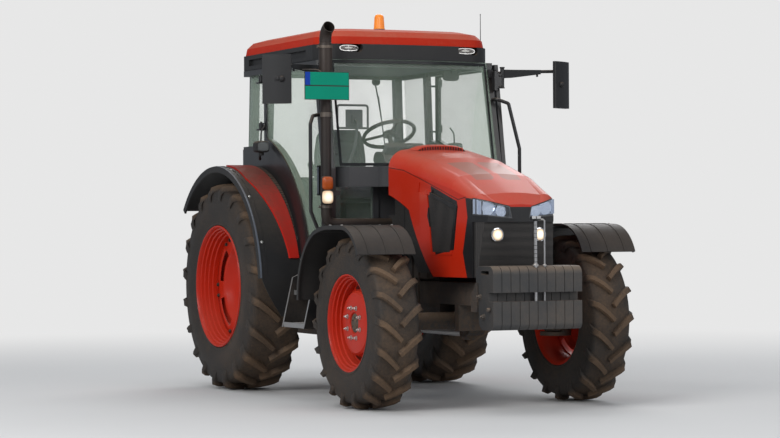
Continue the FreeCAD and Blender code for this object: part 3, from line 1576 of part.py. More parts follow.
console = side_plate([
    (a_bottom - 40, floor_z + 92), (a_bottom - 40, floor_z + 510), (a_bottom - 200, floor_z + 740),
    (a_bottom - 320, floor_z + 780), (a_bottom - 380, floor_z + 720), (a_bottom - 240, floor_z + 420),
    (a_bottom - 200, floor_z), (a_bottom - 50, floor_z),
], -170, 170, bows={2: -12, 3: -16, 4: 22})
side_console = side_plate([
    (seat_x - 200, platform_top + S.seat_gap), (seat_x + 420, platform_top + S.seat_gap),
    (seat_x + 420, seat_low + 60), (seat_x + 330, seat_low + 135), (seat_x - 200, seat_low + 135),
], -540, -300, bows={2: -10})
lean = S.steering_wheel_tilt
column_x = -sine(lean)
column_z = cosine(lean)
wheel_x = a_bottom - 470
wheel_z = floor_z + 915
foot_x = wheel_x - column_x * S.steering_column
foot_z = wheel_z - column_z * S.steering_column
column_tube = rod((foot_x, 0, foot_z), (foot_x - column_x * 120, 0, foot_z - column_z * 120), 26)
keep("dashboard", group(join(console, column_tube), side_console))

hand_wheel = Body()
grip = S.steering_wheel_grip
hand_wheel.turn(hand_wheel.sketch("XZ_Plane", [
    (S.steering_wheel_radius - grip, 0), (S.steering_wheel_radius - grip / 2, -grip * 0.9),
    (S.steering_wheel_radius + grip / 2, -grip * 0.9), (S.steering_wheel_radius + grip, 0),
    (S.steering_wheel_radius + grip / 2, grip * 0.9), (S.steering_wheel_radius - grip / 2, grip * 0.9),
]))
keep("steering_wheel", hand_wheel.item, wheel_x, 0, wheel_z, Rotation(LEFT, -float(lean)))
hub = hand_wheel.feature("Pad", hand_wheel.circle("XY_Plane", 32, -15), Length=30)
spoke = hand_wheel.feature("Pad", hand_wheel.circle("YZ_Plane", 10, 24), Length=S.steering_wheel_radius - 28)
hand_wheel.pattern([spoke], "Z_Axis", 3)
hand_wheel.feature("Pad", hand_wheel.circle("XY_Plane", 18, S.seat_gap - S.steering_column),
                   Length=S.steering_column - S.seat_gap)

# Check and write

doc.recompute()
for item in doc.Objects:
    if "Invalid" in item.State or "Error" in item.State:
        raise RuntimeError("failed object: %s (%s)" % (item.Label, item.TypeId))
os.makedirs("parts", exist_ok=True)
for label, item in parts.items():
    if item.Shape.isNull() or not item.Shape.isValid():
        raise RuntimeError("bad shape: " + label)
    item.Shape.exportStep("parts/%s.step" % label)
limits = Part.makeCompound([item.Shape for item in parts.values()]).BoundBox
print("sub-parts", len(parts))
print("size", limits.XLength, limits.YLength, limits.ZLength)
print("x", limits.XMin, limits.XMax, "z", limits.ZMin, limits.ZMax)
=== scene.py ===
"""Looks of the farm tractor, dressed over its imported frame.

Metres. X points forward, Y to the driver's left, Z up. Places along the tractor are counted from
the rear axle, as in the part's source, and at() brings them to the frame.
"""

import math
import random

import bmesh
import bpy
from mathutils import Matrix, Vector


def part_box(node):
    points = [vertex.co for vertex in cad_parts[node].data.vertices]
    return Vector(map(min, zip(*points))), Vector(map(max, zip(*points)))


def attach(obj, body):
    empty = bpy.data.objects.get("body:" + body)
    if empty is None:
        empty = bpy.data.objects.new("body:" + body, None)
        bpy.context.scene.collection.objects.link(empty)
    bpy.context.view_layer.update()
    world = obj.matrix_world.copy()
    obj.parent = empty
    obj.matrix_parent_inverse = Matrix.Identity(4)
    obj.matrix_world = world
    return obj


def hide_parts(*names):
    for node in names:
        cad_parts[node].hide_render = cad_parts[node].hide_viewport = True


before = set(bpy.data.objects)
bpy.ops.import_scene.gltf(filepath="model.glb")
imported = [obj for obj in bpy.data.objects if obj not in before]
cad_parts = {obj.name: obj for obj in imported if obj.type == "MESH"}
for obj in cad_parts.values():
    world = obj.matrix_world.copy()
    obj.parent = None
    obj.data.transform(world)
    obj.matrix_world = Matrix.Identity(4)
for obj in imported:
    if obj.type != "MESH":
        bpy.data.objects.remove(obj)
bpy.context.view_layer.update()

SIDES = (("right", -1), ("left", 1))
UP = (0, 0, 1)


def middle(node):
    low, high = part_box(node)
    return (low + high) / 2


rear_axle = middle("tyre_rear_right").x
front_axle = middle("tyre_front_right").x
wheelbase = front_axle - rear_axle


def at(x, y, z):
    """A point in the frame from its distance ahead of the rear axle."""
    return Vector((rear_axle + x, y, z))


# Finishes

class Field:
    """A shader value or colour that takes part in sums."""

    def __init__(self, finish, socket):
        self.finish = finish
        self.socket = socket

    def sum(self, operation, *terms):
        return self.finish.add("ShaderNodeMath", {"operation": operation}, dict(enumerate(terms)))

    def __add__(self, other):
        return self.sum("ADD", self, other)

    def __radd__(self, other):
        return self.sum("ADD", other, self)

    def __sub__(self, other):
        return self.sum("SUBTRACT", self, other)

    def __rsub__(self, other):
        return self.sum("SUBTRACT", other, self)

    def __mul__(self, other):
        return self.sum("MULTIPLY", self, other)

    def __rmul__(self, other):
        return self.sum("MULTIPLY", other, self)

    def __truediv__(self, other):
        return self.sum("DIVIDE", self, other)

    def over(self, low, high):
        """0 below low, 1 above high, and a smooth step between."""
        return self.finish.add("ShaderNodeMapRange", {"interpolation_type": "SMOOTHSTEP"},
                               {"Value": self, "From Min": low, "From Max": high})

    def clamped(self):
        return self.finish.add("ShaderNodeClamp", {}, {"Value": self})


class Finish:
    """A material in the making, whose nodes all come from add()."""

    def __init__(self, name):
        self.material = bpy.data.materials.new(name)
        self.material.use_nodes = True
        self.tree = self.material.node_tree
        self.shader = self.tree.nodes["Principled BSDF"]
        self.place = self.add("ShaderNodeTexCoord", {}, {}, "Object")
        self.normal = self.add("ShaderNodeTexCoord", {}, {}, "Normal")

    def add(self, kind, settings, inputs, output=0):
        node = self.tree.nodes.new(kind)
        for name, value in settings.items():
            setattr(node, name, value)
        for name, value in inputs.items():
            self.feed(node.inputs[name], value)
        return Field(self, node.outputs[output])

    def feed(self, socket, value):
        if isinstance(value, Field):
            self.tree.links.new(value.socket, socket)
        elif isinstance(value, (tuple, list)) and socket.type == "RGBA":
            socket.default_value = (*value[:3], 1)
        else:
            socket.default_value = value

    def set(self, **values):
        """Feeds the surface shader: base_color becomes Base Color."""
        for name, value in values.items():
            self.feed(self.shader.inputs[name.replace("_", " ").title().replace("Ior", "IOR")], value)

    def noise(self, scale, detail=3, rough=0.55, place=None):
        return self.add("ShaderNodeTexNoise", {}, {
            "Vector": place or self.place, "Scale": scale, "Detail": detail, "Roughness": rough})

    def mix(self, share, low, high):
        return self.add("ShaderNodeMix", {"data_type": "RGBA"}, {0: share, 6: low, 7: high}, 2)

    def part(self, vector, axis):
        return self.add("ShaderNodeSeparateXYZ", {}, {0: vector}, axis)

    def off_middle(self):
        """How far a place is from the tractor's middle plane."""
        return self.add("ShaderNodeMath", {"operation": "ABSOLUTE"}, {0: self.part(self.place, "Y")})

    def wave(self, scale, distortion, direction="Y", place=None, detail=2):
        """Soft bands that follow one another along a direction."""
        return self.add("ShaderNodeTexWave", {"bands_direction": direction}, {
            "Vector": place or self.place, "Scale": scale, "Distortion": distortion, "Detail": detail})

    def holes(self):
        """1 in the round holes of a perforated sheet, 0 between them."""
        cells = self.add("ShaderNodeTexVoronoi", {"feature": "F1"}, {
            "Vector": self.place, "Scale": 110, "Randomness": 0.0}, "Distance")
        return 1 - cells.over(0.30, 0.42)

    def slant(self, blend):
        """0 where the surface is seen square on, 1 where it is seen edge on."""
        return self.add("ShaderNodeLayerWeight", {}, {"Blend": blend}, "Fresnel")

    def bump(self, height, depth, under=None):
        """A relief, its depth in metres."""
        inputs = {"Height": height, "Distance": depth, "Strength": 1.0}
        if under:
            inputs["Normal"] = under
        return self.add("ShaderNodeBump", {}, inputs)


DUST = (0.36, 0.245, 0.155)
SOIL = (0.10, 0.062, 0.038)
# Painted sky reflection: the colour of a faint emission that stands in for the sky seen in bright metal
PAINTED_SKY_REFLECTION = (0.62, 0.72, 0.92)


def weathered(name, colour, shade, rough, metal=0.0, coat=0.0, grain=700, grain_depth=0.0001,
              patch=2.2, dust=0.4, soil_height=0.0, cling=0.25, marks=None, dirt=DUST, gloss=0.35, painted_glint=0.0):
    """A field-worn finish: patchy colour, fine grain, dust that lies on what faces up and, if asked, a
    painted sky reflection as a faint emission.
    """
    f = Finish(name)
    broad = f.noise(patch, 4)
    fine = f.noise(38, 5, 0.7)
    speck = f.noise(260, 2, 0.6)
    up = f.part(f.normal, "Z")
    height = f.part(f.place, "Z")
    low = 1 - height.over(0.3, 1.5)
    lie = (up.over(-0.3, 1.0) * 0.75 + broad * 0.9 + fine * 0.45 + low * cling).over(0.82, 1.75)
    film = (lie * dust + speck.over(0.56, 0.7) * lie * dust * 0.5).clamped()
    body = f.mix((broad * 0.7 + speck * 0.3).over(0.3, 0.75), colour, shade)
    if marks:
        body = marks(f, body)
    dusty = f.mix(film, body, dirt)
    if soil_height:
        splash = (1 - height.over(soil_height * 0.35, soil_height)) * fine.over(0.35, 0.62)
        dusty = f.mix(splash * 0.75, dusty, SOIL)
        film = (film + splash * 0.7).clamped()
    grit = f.bump(f.noise(grain, 3), grain_depth)
    relief = f.bump(fine * film, 0.0006, grit)
    f.set(base_color=dusty, roughness=(rough + film * (0.92 - rough) + (speck - 0.5) * 0.1).clamped(),
          metallic=(metal - film * metal).clamped() if metal else 0.0, normal=relief,
          specular_ior_level=gloss)
    if coat:
        f.set(coat_weight=(coat - film * coat).clamped(), coat_roughness=0.12)
    # Painted glint: a faint sky-coloured emission standing in for a reflection
    if painted_glint:
        f.set(emission_color=PAINTED_SKY_REFLECTION, emission_strength=painted_glint)
    return f.material


def tyre_rubber(name, radius, axle):
    """Black rubber with pale dust on the tread and worn brown sidewalls."""
    f = Finish(name)
    away = f.add("ShaderNodeVectorMath", {"operation": "SUBTRACT"}, {0: f.place, 1: (axle.x, 0, axle.z)})
    flat = f.add("ShaderNodeVectorMath", {"operation": "MULTIPLY"}, {0: away, 1: (1, 0, 1)})
    reach = f.add("ShaderNodeVectorMath", {"operation": "LENGTH"}, {0: flat}, "Value")
    tread = reach.over(radius * 0.90, radius * 0.985)
    broad = f.noise(3.5, 4)
    fine = f.noise(55, 5, 0.7)
    speck = f.noise(420, 2, 0.6)
    film = (tread * 0.32 + broad * 0.55 + fine * 0.5 + 0.10).over(0.5, 1.25)
    film = (film * 0.78 + speck.over(0.55, 0.72) * 0.18).clamped()
    rubber = f.mix(speck, (0.020, 0.019, 0.018), (0.038, 0.034, 0.031))
    rings = f.wave(28, 0.4, "X", f.add("ShaderNodeCombineXYZ", {}, {"X": reach}))
    relief = f.bump(rings * (1 - tread), 0.0007, f.bump(fine, 0.0012))
    f.set(base_color=f.mix(film, rubber, (0.185, 0.114, 0.066)),
          roughness=(0.62 + film * 0.3).clamped(), normal=relief, specular_ior_level=0.22)
    return f.material


def window_glass(name, tint, clear=0.14, edge_share=0.75, dust=0.25):
    """Tinted safety glass whose reflections grow towards the edge, with a film of dust."""
    f = Finish(name)
    edge = f.slant(0.32)
    film = f.noise(5, 5, 0.65).over(0.42, 0.85) * dust
    speck = f.noise(300, 2).over(0.62, 0.75) * dust
    f.set(base_color=f.mix(film, tint, DUST), roughness=(0.03 + film * 0.5).clamped(), specular_ior_level=0.9,
          alpha=(clear + edge * edge_share + film * 0.35 + speck * 0.3).clamped())
    return f.material


def woven(name, colour, thread):
    """Seat cloth: crossed threads with a soft nap."""
    f = Finish(name)
    warp = f.wave(160, 1.2, detail=1)
    weft = f.wave(150, 1.2, "DIAGONAL", detail=1)
    cross = warp * 0.5 + weft * 0.5
    wear = f.noise(7, 4).over(0.4, 0.8)
    f.set(base_color=f.mix(cross * 0.6 + wear * 0.3, colour, thread), roughness=0.92,
          normal=f.bump(cross, 0.0006, f.bump(f.noise(60, 4), 0.0006)), sheen_weight=0.3)
    return f.material


def lit_lens(name, colour, glow):
    """Moulded lens with ribs and a faint light behind it."""
    f = Finish(name)
    ribs = f.wave(60, 0.2)
    shade = f.mix(ribs * 0.6 + f.noise(30) * 0.4, colour, tuple(c * 0.7 for c in colour))
    f.set(base_color=shade, roughness=(0.08 + f.noise(90) * 0.12).clamped(), normal=f.bump(ribs, 0.0008),
          emission_color=shade, emission_strength=glow)
    return f.material


def perforated(name):
    """Black sheet with a close pattern of round holes, painted darker as the shade seen through them, for the
    screens.
    """
    f = Finish(name)
    hole = f.holes()
    sheet = f.mix(f.noise(200, 3), SCREEN_BLACK, (0.034, 0.028, 0.024))
    f.set(base_color=f.mix(hole, sheet, HOLE_SHADE), roughness=0.55, normal=f.bump(1 - hole, 0.0012))
    return f.material


SCREEN_BLACK = (0.016, 0.015, 0.015)
# Painted shade: the colour of the dark seen through the holes
HOLE_SHADE = (0.004, 0.004, 0.004)

# Outlines on the bonnet and the lamp: ahead of the rear axle, then across or up
SUNK_PANEL = [(2.267, 0.195), (2.278, 0.040), (2.304, 0.016), (2.640, 0.030), (2.668, 0.060), (2.655, 0.170)]
SIDE_SCREEN = [(2.327, 1.485), (2.657, 1.382), (2.667, 1.351), (2.608, 1.069), (2.382, 1.036), (2.278, 1.292)]
NOSE_EDGE = [(2.765, 1.60), (2.765, 1.435), (2.790, 1.277), (2.724, 1.045), (2.777, 0.86)]
SEAM = [(1.69, 1.630), (1.92, 1.606), (2.147, 1.551), (2.454, 1.464), (2.68, 1.396), (2.775, 1.412)]


def side_of(across, up, start, end):
    """Signed distance to the line from start to end, positive on its left."""
    length = math.dist(start, end)
    run_across = (end[0] - start[0]) / length
    run_up = (end[1] - start[1]) / length
    return (up - start[1]) * run_across - (across - start[0]) * run_up


def inside(across, up, corners, margin=0.0):
    """1 within a convex outline of (across, up) corners and a margin round it, 0 beyond."""
    area = sum(a[0] * b[1] - b[0] * a[1] for a, b in zip(corners, corners[1:] + corners[:1]))
    within = 1.0
    for start, end in zip(corners, corners[1:] + corners[:1]):
        depth = side_of(across, up, start, end) * math.copysign(1, area)
        within = (depth + margin).over(-0.0015, 0.0015) * within
    return within


def bonnet_marks(f, body):
    """Dusty sunk panels, the gap under the shoulder, the side screens and the black nose."""
    along = f.part(f.place, "X") - rear_axle
    across = f.off_middle()
    height = f.part(f.place, "Z")
    panel = inside(along, across, SUNK_PANEL) * (0.7 + f.noise(45, 5, 0.7) * 0.3)
    body = f.mix(panel, body, (0.240, 0.062, 0.042))
    for start, end in zip(SEAM, SEAM[1:]):
        off = side_of(along, height, start, end)
        near = 1 - (off * off).over(0.0000045, 0.000011)
        between = along.over(start[0] - 0.002, start[0]) * (1 - along.over(end[0], end[0] + 0.002))
        body = f.mix(near * between, body, (0.030, 0.006, 0.005))
    # Side screens: the perforated pattern painted on the shell, with painted shade in its holes
    body = f.mix(inside(along, height, SIDE_SCREEN, 0.007), body, f.mix(f.holes(), SCREEN_BLACK, HOLE_SHADE))
    ahead = 0.0
    for start, end in zip(NOSE_EDGE, NOSE_EDGE[1:]):
        under = 1 - height.over(start[1] - 0.0005, start[1] + 0.0005)
        level = under * height.over(end[1] - 0.0005, end[1] + 0.0005)
        ahead = side_of(along, height, start, end).over(-0.001, 0.001) * level + ahead
    lamp_top = (across - 0.078).clamped() * 0.26 + 1.345
    below = 1 - (height - lamp_top).over(-0.001, 0.001)
    return f.mix((ahead * below).clamped(), body, (0.014, 0.014, 0.015))


def edge_of_lens(name, outline):
    """Clear lens with a black printed border, given the lens's outline seen from ahead."""
    f = Finish(name)
    across = f.off_middle()
    height = f.part(f.place, "Z")
    border = 0.0
    for start, end in zip(outline, outline[1:] + outline[:1]):
        border = side_of(across, height, start, end).over(-0.0085, -0.006) + border
    border = border.clamped()
    f.set(base_color=f.mix(border, (0.8, 0.84, 0.9), (0.012, 0.012, 0.013)), roughness=0.03 + border * 0.25,
          specular_ior_level=0.8, alpha=(0.05 + f.slant(0.3) * 0.4 + border).clamped())
    return f.material


def lamp_glow(name, centre_y, centre_z, radius, colour, strength):
    """A lit lens, brightest at its middle, with moulded ribs."""
    f = Finish(name)
    across = f.off_middle() - centre_y
    height = f.part(f.place, "Z") - centre_z
    reach = f.add("ShaderNodeMath", {"operation": "SQRT"}, {0: across * across + height * height})
    glow = 1 - reach.over(radius * 0.15, radius)
    ribs = f.wave(70, 0.3)
    warm = f.mix(glow, tuple(c * 0.55 for c in colour), (1.0, 0.93, 0.80))
    f.set(base_color=f.mix(ribs * 0.4, warm, (0.6, 0.52, 0.42)), roughness=0.12,
          emission_color=f.mix(glow, (0.25, 0.16, 0.09), (1.0, 0.86, 0.62)), emission_strength=strength,
          normal=f.bump(ribs, 0.0008))
    return f.material


def plain_mirror(name):
    """Silvered glass under a thin film of dust."""
    f = Finish(name)
    film = f.noise(14, 5, 0.65).over(0.45, 0.8)
    f.set(base_color=f.mix(film * 0.15, (0.72, 0.75, 0.78), DUST), metallic=1.0,
          roughness=(0.04 + film * 0.08).clamped())
    return f.material


paint_red = weathered("bonnet_red", (0.50, 0.021, 0.005), (0.44, 0.018, 0.004), 0.36, coat=0.25, grain=900,
                      grain_depth=0.00004, dust=0.22, marks=bonnet_marks, gloss=0.24)
roof_red = weathered("roof_red", (0.45, 0.021, 0.006), (0.39, 0.018, 0.005), 0.60, dust=0.35, gloss=0.12)
rim_red = weathered("rim_red", (0.50, 0.019, 0.004), (0.42, 0.015, 0.003), 0.40, coat=0.12, dust=0.09,
                    cling=0.1,
                    gloss=0.2)
black_paint = weathered("black_paint", (0.012, 0.012, 0.013), (0.018, 0.017, 0.017), 0.36, coat=0.2,
                        dust=0.22)
black_plastic = weathered("black_plastic", (0.014, 0.014, 0.015), (0.022, 0.021, 0.020), 0.55, grain=1400,
                          grain_depth=0.00025, dust=0.28)
cab_trim = weathered("cab_trim", (0.035, 0.036, 0.039), (0.05, 0.05, 0.052), 0.6, grain=1600,
                     grain_depth=0.0003, dust=0.2)
pale_trim = weathered("pale_trim", (0.16, 0.16, 0.165), (0.12, 0.12, 0.125), 0.6, grain=1600,
                      grain_depth=0.0003, dust=0.2)
grey_cast = weathered("grey_cast", (0.026, 0.026, 0.027), (0.045, 0.041, 0.038), 0.58, grain=240,
                      grain_depth=0.0008, dust=0.55, soil_height=0.9, cling=0.4)
weight_grey = weathered("weight_grey", (0.034, 0.035, 0.037), (0.052, 0.050, 0.048), 0.55, grain=260,
                        grain_depth=0.0007, dust=0.3)
steel = weathered("bright_steel", (0.52, 0.52, 0.53), (0.40, 0.39, 0.38), 0.3, metal=0.95, dust=0.35)
chrome = weathered("lamp_chrome", (0.8, 0.8, 0.82), (0.7, 0.7, 0.72), 0.08, metal=1.0, dust=0.05)
soft_rubber = weathered("soft_rubber", (0.022, 0.021, 0.021), (0.034, 0.033, 0.032), 0.66, dust=0.25)
fender_black = weathered("fender_black", (0.017, 0.017, 0.018), (0.030, 0.027, 0.025), 0.5, grain=1400,
                         grain_depth=0.00025, dust=0.09, cling=0.1, gloss=0.25)
stud_steel = weathered("stud_steel", (0.62, 0.61, 0.60), (0.45, 0.43, 0.41), 0.28, metal=0.9, dust=0.25)
steel_dark = weathered("dark_steel", (0.10, 0.097, 0.093), (0.16, 0.12, 0.09), 0.5, metal=0.6, dust=0.35)
black_bolts = weathered("black_bolts", (0.030, 0.029, 0.029), (0.055, 0.045, 0.038), 0.5, metal=0.4, dust=0.3)
# Blue-grey: on the rear fender edge beads a painted highlight along the edge; on the door latches their grey
grey_and_edge_highlight = weathered("grey_and_edge_highlight", (0.085, 0.10, 0.125), (0.065, 0.075, 0.09), 0.38, dust=0.15)
red_plastic = weathered("red_plastic", (0.45, 0.02, 0.015), (0.36, 0.02, 0.015), 0.45, dust=0.25)
# Near-black painted shade for the vent slot under the bonnet's lip
gap_shade = weathered("gap_shade", (0.006, 0.006, 0.006), (0.010, 0.009, 0.009), 0.8, dust=0.1)
glass_border = weathered("glass_border", (0.010, 0.011, 0.012), (0.013, 0.014, 0.015), 0.18,
                         grain_depth=0.00002,
                         dust=0.15)
glass = window_glass("cab_glass", (0.56, 0.71, 0.56), clear=0.055, edge_share=0.28, dust=0.12)
# Headlamp reflectors: silver tinted blue with a faint emission, a painted sky reflection over the metal
lamp_silver_painted_sky = weathered("lamp_silver_painted_sky", (0.74, 0.80, 0.92), (0.50, 0.58, 0.72), 0.14, metal=0.9, dust=0.0,
                        painted_glint=0.10)
panel_red = weathered("panel_red", (0.50, 0.018, 0.010), (0.42, 0.015, 0.009), 0.42, coat=0.12, dust=0.85,
                      cling=0.05, dirt=(0.085, 0.050, 0.036), gloss=0.22)
step_steel = weathered("step_steel", (0.34, 0.34, 0.345), (0.24, 0.235, 0.23), 0.42, metal=0.6, dust=0.25)
roof_lining = weathered("roof_lining", (0.075, 0.085, 0.10), (0.06, 0.068, 0.08), 0.8, dust=0.0)
exhaust_black = weathered("exhaust_black", (0.022, 0.019, 0.018), (0.042, 0.030, 0.024), 0.5, metal=0.3,
                          grain=500,
                          grain_depth=0.0003, dust=0.15)
clear_lens = window_glass("clear_lens", (0.75, 0.78, 0.80), clear=0.10, dust=0.15)
headlamp_lens = edge_of_lens("headlamp_lens",
                             [(0.060, 1.268), (0.078, 1.350), (0.420, 1.438), (0.420, 1.302)])
FOG_Y, FOG_Z = 0.158, 1.163
fog_glow = lamp_glow("fog_glow", FOG_Y, FOG_Z, 0.040, (1.0, 0.82, 0.58), 1.25)
MARKER_Y = 0.760
marker_glow = lamp_glow("marker_glow", MARKER_Y, 1.425, 0.055, (1.0, 0.66, 0.36), 0.85)
amber_glow = lit_lens("amber_glow", (0.85, 0.24, 0.012), 0.35)
mirror_silver = plain_mirror("mirror_silver")
amber_lens = lit_lens("amber_lens", (0.42, 0.075, 0.008), 0.06)
red_lens = lit_lens("red_lens", (0.55, 0.02, 0.015), 0.2)
white_lens = lit_lens("white_lens", (0.80, 0.78, 0.72), 0.35)
cloth = woven("seat_cloth", (0.05, 0.05, 0.055), (0.10, 0.10, 0.11))
screen_mesh = perforated("screen_mesh")
plate_green = weathered("plate_green", (0.002, 0.27, 0.17), (0.002, 0.23, 0.145), 0.5, dust=0.02, gloss=0.08)
plate_blue = weathered("plate_blue", (0.008, 0.05, 0.36), (0.008, 0.04, 0.3), 0.5, dust=0.02, gloss=0.1)

NODE_FINISH = {
    "bonnet_shell": paint_red, "roof_cap": roof_red, "fender_panels": panel_red,
    "cab_windows": glass, "door_glass_right": glass, "door_glass_left": glass,
    "grille": screen_mesh, "headlamps": headlamp_lens, "roof_lamps": white_lens, "side_lamps": amber_lens,
    "roof_base": black_plastic, "rear_fenders": fender_black, "front_fender_right": fender_black,
    "front_fender_left": fender_black, "mirrors": black_plastic, "fuel_tank": black_plastic,
    "seat": cloth, "steering_wheel": soft_rubber, "dashboard": cab_trim, "cab_cowl": cab_trim,
    "cab_floor": cab_trim, "seat_base": cab_trim, "steering_rod": steel, "steering_cylinder": steel,
    "pto_shaft": steel, "top_link": steel, "lift_rods": steel, "sight_post": steel, "drive_shaft": steel,
    "front_weights": weight_grey,
}
for node in ("rear_axle_case", "lift_arms", "lower_links", "engine_block", "chassis_frame",
             "front_axle_beam", "knuckle_right", "knuckle_left", "drawbar"):
    NODE_FINISH[node] = grey_cast
for wheel in ("rear_right", "rear_left", "front_right", "front_left"):
    NODE_FINISH["rim_" + wheel] = rim_red

for node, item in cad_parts.items():
    item.data.materials.clear()
    item.data.materials.append(NODE_FINISH.get(node, black_paint))


# Pieces

def piece(name, build, body, finish, smooth=40, details=()):
    """A piece on its body, built with its details and shaded smooth across edges under that angle."""
    mesh = meshed(build, *details)
    item = bpy.data.objects.new(name, mesh)
    bpy.context.scene.collection.objects.link(item)
    mesh.materials.append(finish)
    mesh.shade_smooth()
    mesh.set_sharp_from_angle(angle=math.radians(smooth))
    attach(item, body)
    return item


def meshed(build, *details):
    """Runs a builder on a fresh bmesh and returns the mesh."""
    work = bmesh.new()
    build(work, *details)
    bmesh.ops.recalc_face_normals(work, faces=work.faces)
    mesh = bpy.data.meshes.new("mesh")
    work.to_mesh(mesh)
    work.free()
    return mesh


def on_both_sides(build):
    """A builder that runs another for the right side, then for the left."""
    def both(work, *details):
        for _, side in SIDES:
            build(work, side, *details)
    return both


def skin(work, rows, closed_rows=False, closed_points=False, caps=False):
    """Quads between rows of points."""
    grid = [[work.verts.new(point) for point in row] for row in rows]
    last_row = len(grid) if closed_rows else len(grid) - 1
    for i in range(last_row):
        a, b = grid[i], grid[(i + 1) % len(grid)]
        count = len(a) if closed_points else len(a) - 1
        for j in range(count):
            k = (j + 1) % len(a)
            work.faces.new((a[j], a[k], b[k], b[j]))
    if caps:
        work.faces.new(list(reversed(grid[0])))
        work.faces.new(grid[-1])


def closed(work, rows):
    """A closed form through rings of points, with a flat face at each end."""
    skin(work, rows, closed_points=True, caps=True)


def softened(item, width, segments=2):
    """Rounds the item's sharp edges."""
    bevel = item.modifiers.new("softened", "BEVEL")
    bevel.width = width
    bevel.segments = segments
    bevel.limit_method = "ANGLE"
    bevel.angle_limit = math.radians(35)
    bevel.harden_normals = False


def slab(work, outline, low, high, axis):
    """A closed block: an outline of pairs, drawn across the axis, from low to high along it."""
    def spot(a, b, along):
        return {"x": at(along, a, b), "y": at(a, along, b), "z": at(a, b, along)}[axis]
    closed(work, [[spot(a, b, along) for a, b in outline] for along in (low, high)])


def box(work, x0, x1, y0, y1, z0, z1):
    y0, y1 = sorted((y0, y1))
    slab(work, [(x0, y0), (x1, y0), (x1, y1), (x0, y1)], z0, z1, "z")


def turned(work, centre, outline, side, steps=96):
    """A ring of (out, radius) points about a wheel's axle; out is away from the tractor."""
    rows = []
    for step in range(steps):
        turn = 2 * math.pi * step / steps
        rows.append([centre + Vector((radius * math.sin(turn), side * out, radius * math.cos(turn)))
                     for out, radius in outline])
    skin(work, rows, closed_rows=True)


def curved(points, steps=6):
    """A smooth line through the points."""
    line = []
    ends = [points[0]] + list(points) + [points[-1]]
    for a, b, c, d in zip(ends, ends[1:], ends[2:], ends[3:]):
        for step in range(steps):
            t = step / steps
            line.append(tuple(
                0.5 * (2 * q + (r - p) * t + (2 * p - 5 * q + 4 * r - s) * t * t
                       + (3 * q - p - 3 * r + s) * t ** 3)
                for p, q, r, s in zip(a, b, c, d)))
    line.append(tuple(points[-1]))
    return line


def square_to(axis):
    """The axis at unit length, and two directions square to it and to each other."""
    axis = Vector(axis).normalized()
    across = axis.orthogonal().normalized()
    return axis, across, axis.cross(across)


def ring(centre, across, other, radius, count):
    """Points round a circle that lies along two directions."""
    turns = [2 * math.pi * k / count for k in range(count)]
    return [centre + (across * math.cos(turn) + other * math.sin(turn)) * radius for turn in turns]


def tube(work, points, radius, sides=16, bend=0.03):
    """A round pipe through points, each given as for at(), with rounded corners."""
    corners = [at(*point) for point in points]
    line = [corners[0]]
    for before, corner, after in zip(corners, corners[1:], corners[2:]):
        back = (before - corner).normalized()
        ahead = (after - corner).normalized()
        reach = min(bend, (before - corner).length * 0.45, (after - corner).length * 0.45)
        for step in range(7):
            t = step / 6
            line.append(corner + back * reach * (1 - t) ** 2 + ahead * reach * t * t)
    line.append(corners[-1])
    rows = []
    across = (line[1] - line[0]).normalized().orthogonal().normalized()
    for index, spot in enumerate(line):
        ahead = (line[min(index + 1, len(line) - 1)] - line[max(index - 1, 0)]).normalized()
        across = (across - ahead * across.dot(ahead)).normalized()
        rows.append(ring(spot, across, ahead.cross(across), radius, sides))
    closed(work, rows)


def spun(work, foot, axis, profile, sides=28):
    """A form turned about an axis from its foot: (radius, height) points."""
    axis, across, other = square_to(axis)
    closed(work, [ring(foot + axis * height, across, other, radius, sides) for radius, height in profile])


def bolt(work, spot, axis, radius, rise):
    """A hexagon head on its washer."""
    spun(work, spot, axis,
         [(radius * 1.35, -0.001), (radius * 1.35, rise * 0.2), (radius * 1.2, rise * 0.26)], 18)
    spun(work, spot, axis, [(radius, rise * 0.2), (radius, rise * 0.9), (radius * 0.86, rise)], 6)


# Tyres: a carcass with two staggered rows of lugs

TYRES = {
    # family: radius, half width, rim radius, lug height, lug width, lugs a side, skew in radians
    "rear": (0.775, 0.210, 0.457, 0.040, 0.050, 20, 0.235),
    "front": (0.577, 0.160, 0.330, 0.034, 0.042, 18, 0.27),
}


def carcass(radius, half, rim, lug):
    """Half section from the crown to the bead, as (out, radius)."""
    crown = radius - lug
    side = crown - rim
    return curved([
        (0.0, crown), (half * 0.5, crown - 0.003), (half * 0.80, crown - 0.012),
        (half * 0.905, crown - 0.035),
        (half * 0.945, crown - side * 0.30), (half * 0.985, crown - side * 0.52),
        (half * 0.965, crown - side * 0.72),
        (half * 0.915, rim + side * 0.10), (half * 0.93, rim + 0.012), (half * 0.92, rim + 0.004),
    ], 4)


def along_line(line, share):
    """The point and the outward normal at a share of a half section's length."""
    lengths = [math.dist(a, b) for a, b in zip(line, line[1:])]
    left = share * sum(lengths)
    for (a, b), length in zip(zip(line, line[1:]), lengths):
        if left <= length:
            break
        left -= length
    t = left / length
    spot = (a[0] + (b[0] - a[0]) * t, a[1] + (b[1] - a[1]) * t)
    run = ((b[0] - a[0]) / length, (b[1] - a[1]) / length)
    return spot, (-run[1], run[0])


